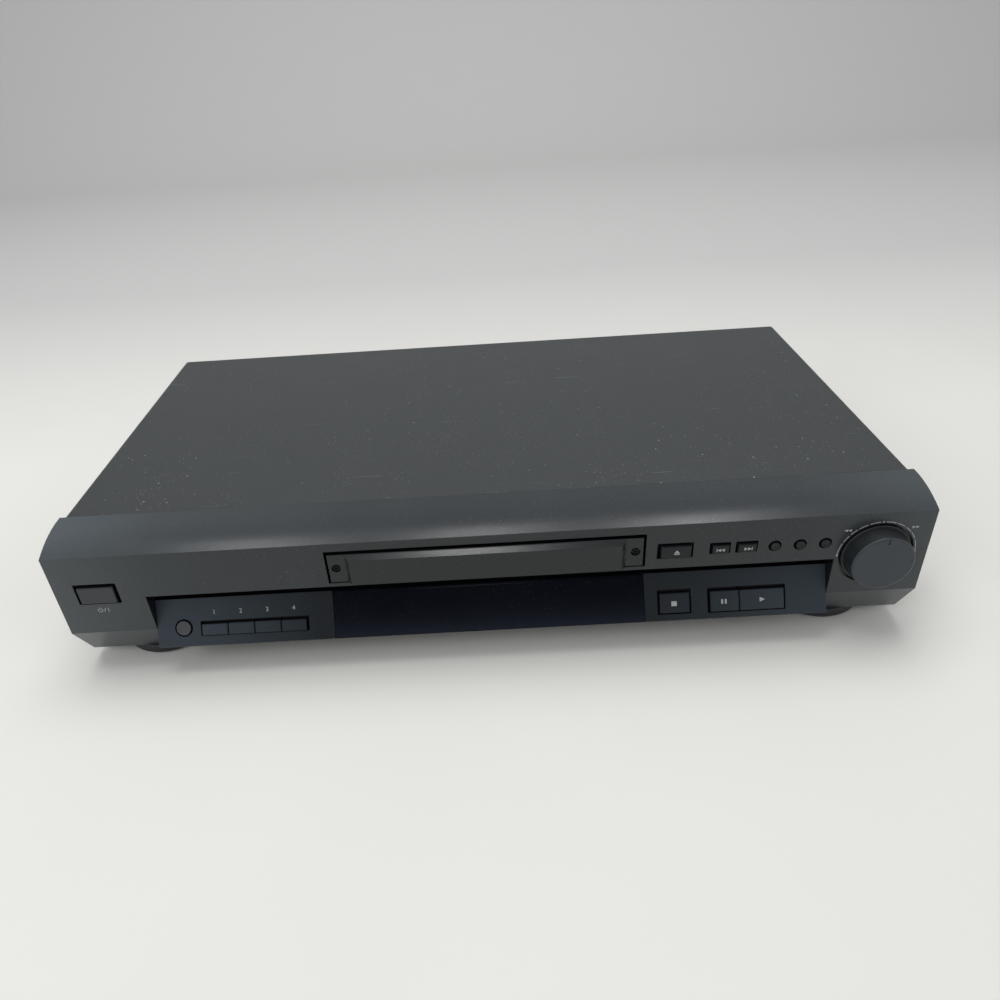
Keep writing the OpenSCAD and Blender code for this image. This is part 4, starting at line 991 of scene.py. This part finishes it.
class DISCPLAYER_OT_key_signs(bpy.types.Operator):
    """Printed transport signs on the key caps"""

    bl_idname = "disc_player.key_signs"
    bl_label = "Key signs"

    def execute(self, context):
        """Print a sign on each transport key."""
        ink = finish_named("sign_ink")
        out = CAP_REACH
        half = math.pi / 2

        def on_upper(key, name, shapes):
            x, z = UPPER_KEYS[key]
            print_sign(name, shapes, upright(x, z, out), BODY_OF[key], ink)

        def on_lower(key, name, shapes):
            x, v = LOWER_KEYS[key]
            print_sign(name, shapes, tilted(x, v, out), BODY_OF[key], ink)

        on_upper("eject_button", "eject_sign", [
            arrow(0, 0.00055, 0.0016, 0.0028, half), bar(0, -0.0009, 0.0028, 0.0006)])
        for key, name, turn in (("skip_back_button", "skip_back_sign", math.pi),
                                ("skip_forward_button", "skip_forward_sign", 0.0)):
            way = -1 if turn else 1
            on_upper(key, name, [
                bar(way * 0.0022, 0, 0.0004, 0.0018), arrow(way * 0.0011, 0, 0.0017, 0.0018, turn),
                arrow(-way * 0.0007, 0, 0.0017, 0.0018, turn)])
        on_lower("stop_button", "stop_sign", [bar(0, 0, 0.0027, 0.0025)])
        on_lower("pause_button", "pause_sign", [
            bar(-0.0009, 0, 0.0009, 0.0024), bar(0.0009, 0, 0.0009, 0.0024)])
        on_lower("play_button", "play_sign", [arrow(0, 0, 0.0027, 0.0024)])
        return {"FINISHED"}


class DISCPLAYER_OT_panel_signs(bpy.types.Operator):
    """Printed signs on the face: standby sign, key numbers and dial scale"""

    bl_idname = "disc_player.panel_signs"
    bl_label = "Panel signs"

    def execute(self, context):
        """Print the signs of the face and the lower panel."""
        ink = finish_named("sign_ink")
        body = BODY_OF["front_panel"]
        x, z = UPPER_KEYS["power_button"]
        print_sign("standby_sign", [
            arc(-0.0016, 0, 0.00115, 0.00034, math.radians(130), math.radians(280)),
            bar(-0.0016, 0.0009, 0.00034, 0.0014),
            bar(0.0008, 0, 0.0003, 0.0026, math.radians(-20)),
            bar(0.0026, 0, 0.00034, 0.0024)], upright(x, z - STANDBY_DROP), body, ink)
        for index in range(4):
            x, v = LOWER_KEYS["sound_button_%d" % (index + 1)]
            print_sign("key_number_%d" % (index + 1),
                       [numeral(str(index + 1), 0, 0, NUMERAL_SIZE)],
                       tilted(x, v + NUMERAL_RAISE), BODY_OF["lower_panel"], ink)
        marks = [bar(0, DIAL_SCALE_R, 0.0007, 0.0010)]
        for start, end in DIAL_SPANS:
            for first in (start, -end):
                marks.append(arc(0, 0, DIAL_SCALE_R, 0.00042, math.radians(90 - first),
                                 -math.radians(end - start), 10))
        for side in (-1, 1):
            marks.append(arrow(side * DIAL_SCALE_R, -0.0002, 0.0016, 0.0014, -math.pi / 2))
        print_sign("dial_scale", marks, upright(DIAL_X, DIAL_Z), body, ink)
        for side, name in ((-1, "dial_arrows_left"), (1, "dial_arrows_right")):
            turn = 0 if side > 0 else math.pi
            print_sign(name, [arrow(x, 0, 0.0017, 0.0015, turn) for x in (-0.0009, 0.0009)],
                       upright(DIAL_X + side * DIAL_ARROWS[0], DIAL_Z + DIAL_ARROWS[1]),
                       body, ink)
        return {"FINISHED"}


class DISCPLAYER_OT_stage(bpy.types.Operator):
    """Pale floor with a swept backdrop, soft lamps, world and camera"""

    bl_idname = "disc_player.stage"
    bl_label = "Stage"

    def execute(self, context):
        """Build the stage."""
        colours = context.scene.disc_player_colours
        self.sweep(tuple(colours.floor), tuple(colours.backdrop))
        self.lamps()
        self.world()
        self.camera()
        context.scene.view_settings.view_transform = "Standard"
        return {"FINISHED"}

    def sweep(self, colour, far):
        """Floor that curves up into the backdrop."""
        deselect()
        bpy.ops.mesh.primitive_plane_add(size=1, location=(0, 0.2, 0))
        floor = bpy.context.object
        floor.scale = (6.0, 3.2, 1)
        apply_place(floor)
        back = max(v.co.y for v in floor.data.vertices)
        bpy.ops.object.mode_set(mode="EDIT")
        bpy.ops.mesh.select_all(action="DESELECT")
        bpy.ops.object.mode_set(mode="OBJECT")
        for edge in floor.data.edges:
            edge.select = all(floor.data.vertices[i].co.y > back - 0.01 for i in edge.vertices)
        bpy.ops.object.mode_set(mode="EDIT")
        bpy.ops.mesh.select_mode(type="EDGE")
        bpy.ops.mesh.extrude_region_move(TRANSFORM_OT_translate={"value": (0, 0, 2.4)})
        bpy.ops.object.mode_set(mode="OBJECT")
        curve = floor.modifiers.new("sweep", "BEVEL")
        curve.width = 0.5
        curve.segments = 24
        curve.limit_method = "ANGLE"
        apply_modifiers(floor)
        bpy.ops.object.shade_smooth()
        rename(floor, "stage_floor")
        material, tree, shader = start_material("stage_paper")
        tone = object_noise(tree, 3.0, 3.0)
        base = mottled(tree, tone, colour, 0.98, 1.02)
        away = step_factor(tree, sides_of(tree)[1], 0.12, 0.55)
        result = mix_colour(tree, away, base, far)
        tree.links.new(result, shader.inputs["Base Color"])
        shader.inputs["Roughness"].default_value = 0.75
        paint(floor, material)

    def lamp(self, name, place, target, size, power, diffuse=True, glossy=True):
        """One soft area lamp, which may light the body colours or the gloss alone."""
        data = bpy.data.lights.new(name, "AREA")
        data.shape = "RECTANGLE"
        data.size, data.size_y = size
        data.energy = power
        lamp = bpy.data.objects.new(name, data)
        bpy.context.scene.collection.objects.link(lamp)
        lamp.location = place
        lamp.visible_camera = False
        lamp.visible_diffuse = diffuse
        lamp.visible_glossy = glossy
        lamp.rotation_euler = (Vector(target) - Vector(place)).to_track_quat("-Z", "Y").to_euler()

    def lamps(self):
        """Key from the left front, fill from the right, a broad top lamp and ceiling lamps."""
        self.lamp("key", (-1.3, -1.1, 1.2), (-0.05, 0, 0.03), (0.9, 0.9), 8)
        self.lamp("fill", (1.5, -0.9, 0.9), (0.05, 0, 0.03), (1.0, 1.0), 3)
        self.lamp("top", (-0.15, 0.2, 1.8), (0, 0.0, 0), (1.6, 1.0), 19, glossy=False)
        for index, (x, width, power) in enumerate(CEILING_LAMPS):
            self.lamp("ceiling_%d" % (index + 1), (x, CEILING_Y, 1.9), (x, CEILING_Y, 0),
                      (width, 0.3), power, diffuse=False)
        self.lamp("wash", (0.0, 1.0, 1.6), (0, 0.9, 0), (3.0, 1.6), 5.5, diffuse=False)
        self.lamp("front", (-0.07, -1.25, 1.25), (0, -0.11, 0.06), (0.2, 0.14), 2.5, diffuse=False)

    def world(self):
        """Even pale surroundings."""
        world = bpy.data.worlds.new("surroundings")
        world.use_nodes = True
        shell = world.node_tree.nodes["Background"]
        shell.inputs["Color"].default_value = (0.93, 0.95, 1.0, 1)
        shell.inputs["Strength"].default_value = 0.45
        bpy.context.scene.world = world

    def camera(self):
        """Camera at the viewing angle of a person standing before the player."""
        data = bpy.data.cameras.new("camera")
        data.lens = LENS
        data.sensor_width = SENSOR
        data.shift_x, data.shift_y = LENS_SHIFT
        camera = bpy.data.objects.new("camera", data)
        bpy.context.scene.collection.objects.link(camera)
        right = Vector(CAMERA_RIGHT).normalized()
        back = Vector(CAMERA_BACK).normalized()
        up = back.cross(right).normalized()
        right = up.cross(back).normalized()
        turn = Matrix((right, up, back)).transposed().to_4x4()
        camera.matrix_world = Matrix.Translation(CAMERA_PLACE) @ turn
        bpy.context.scene.camera = camera


class DISCPLAYER_PT_panel(bpy.types.Panel):
    """Sidebar panel that lists the build steps"""

    bl_label = "Disc Player"
    bl_idname = "DISCPLAYER_PT_panel"
    bl_space_type = "VIEW_3D"
    bl_region_type = "UI"
    bl_category = "Disc Player"

    def draw(self, context):
        """List the operators and their sizes."""
        layout = self.layout
        for operator in STEPS:
            layout.operator(operator.bl_idname)
        for group in (context.scene.disc_player_edges, context.scene.disc_player_colours):
            for name in group.bl_rna.properties.keys():
                if name not in ("rna_type", "name"):
                    layout.prop(group, name)


STEPS = (
    DISCPLAYER_OT_finishes,
    DISCPLAYER_OT_case,
    DISCPLAYER_OT_front,
    DISCPLAYER_OT_tray,
    DISCPLAYER_OT_keys,
    DISCPLAYER_OT_rear,
    DISCPLAYER_OT_key_signs,
    DISCPLAYER_OT_panel_signs,
    DISCPLAYER_OT_stage,
)
CLASSES = (DiscPlayerEdges, DiscPlayerColours, *STEPS, DISCPLAYER_PT_panel)


def register():
    """Register the classes and the scene's groups."""
    for item in CLASSES:
        bpy.utils.register_class(item)
    bpy.types.Scene.disc_player_edges = bpy.props.PointerProperty(type=DiscPlayerEdges)
    bpy.types.Scene.disc_player_colours = bpy.props.PointerProperty(type=DiscPlayerColours)


def unregister():
    """Remove the scene's groups and the classes."""
    del bpy.types.Scene.disc_player_colours
    del bpy.types.Scene.disc_player_edges
    for item in reversed(CLASSES):
        bpy.utils.unregister_class(item)


def main():
    """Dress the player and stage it."""
    register()
    bpy.ops.disc_player.finishes()
    bpy.ops.disc_player.case()
    bpy.ops.disc_player.front()
    bpy.ops.disc_player.tray()
    bpy.ops.disc_player.keys()
    bpy.ops.disc_player.rear()
    bpy.ops.disc_player.key_signs()
    bpy.ops.disc_player.panel_signs()
    bpy.ops.disc_player.stage()


if __name__ == "__main__":
    main()
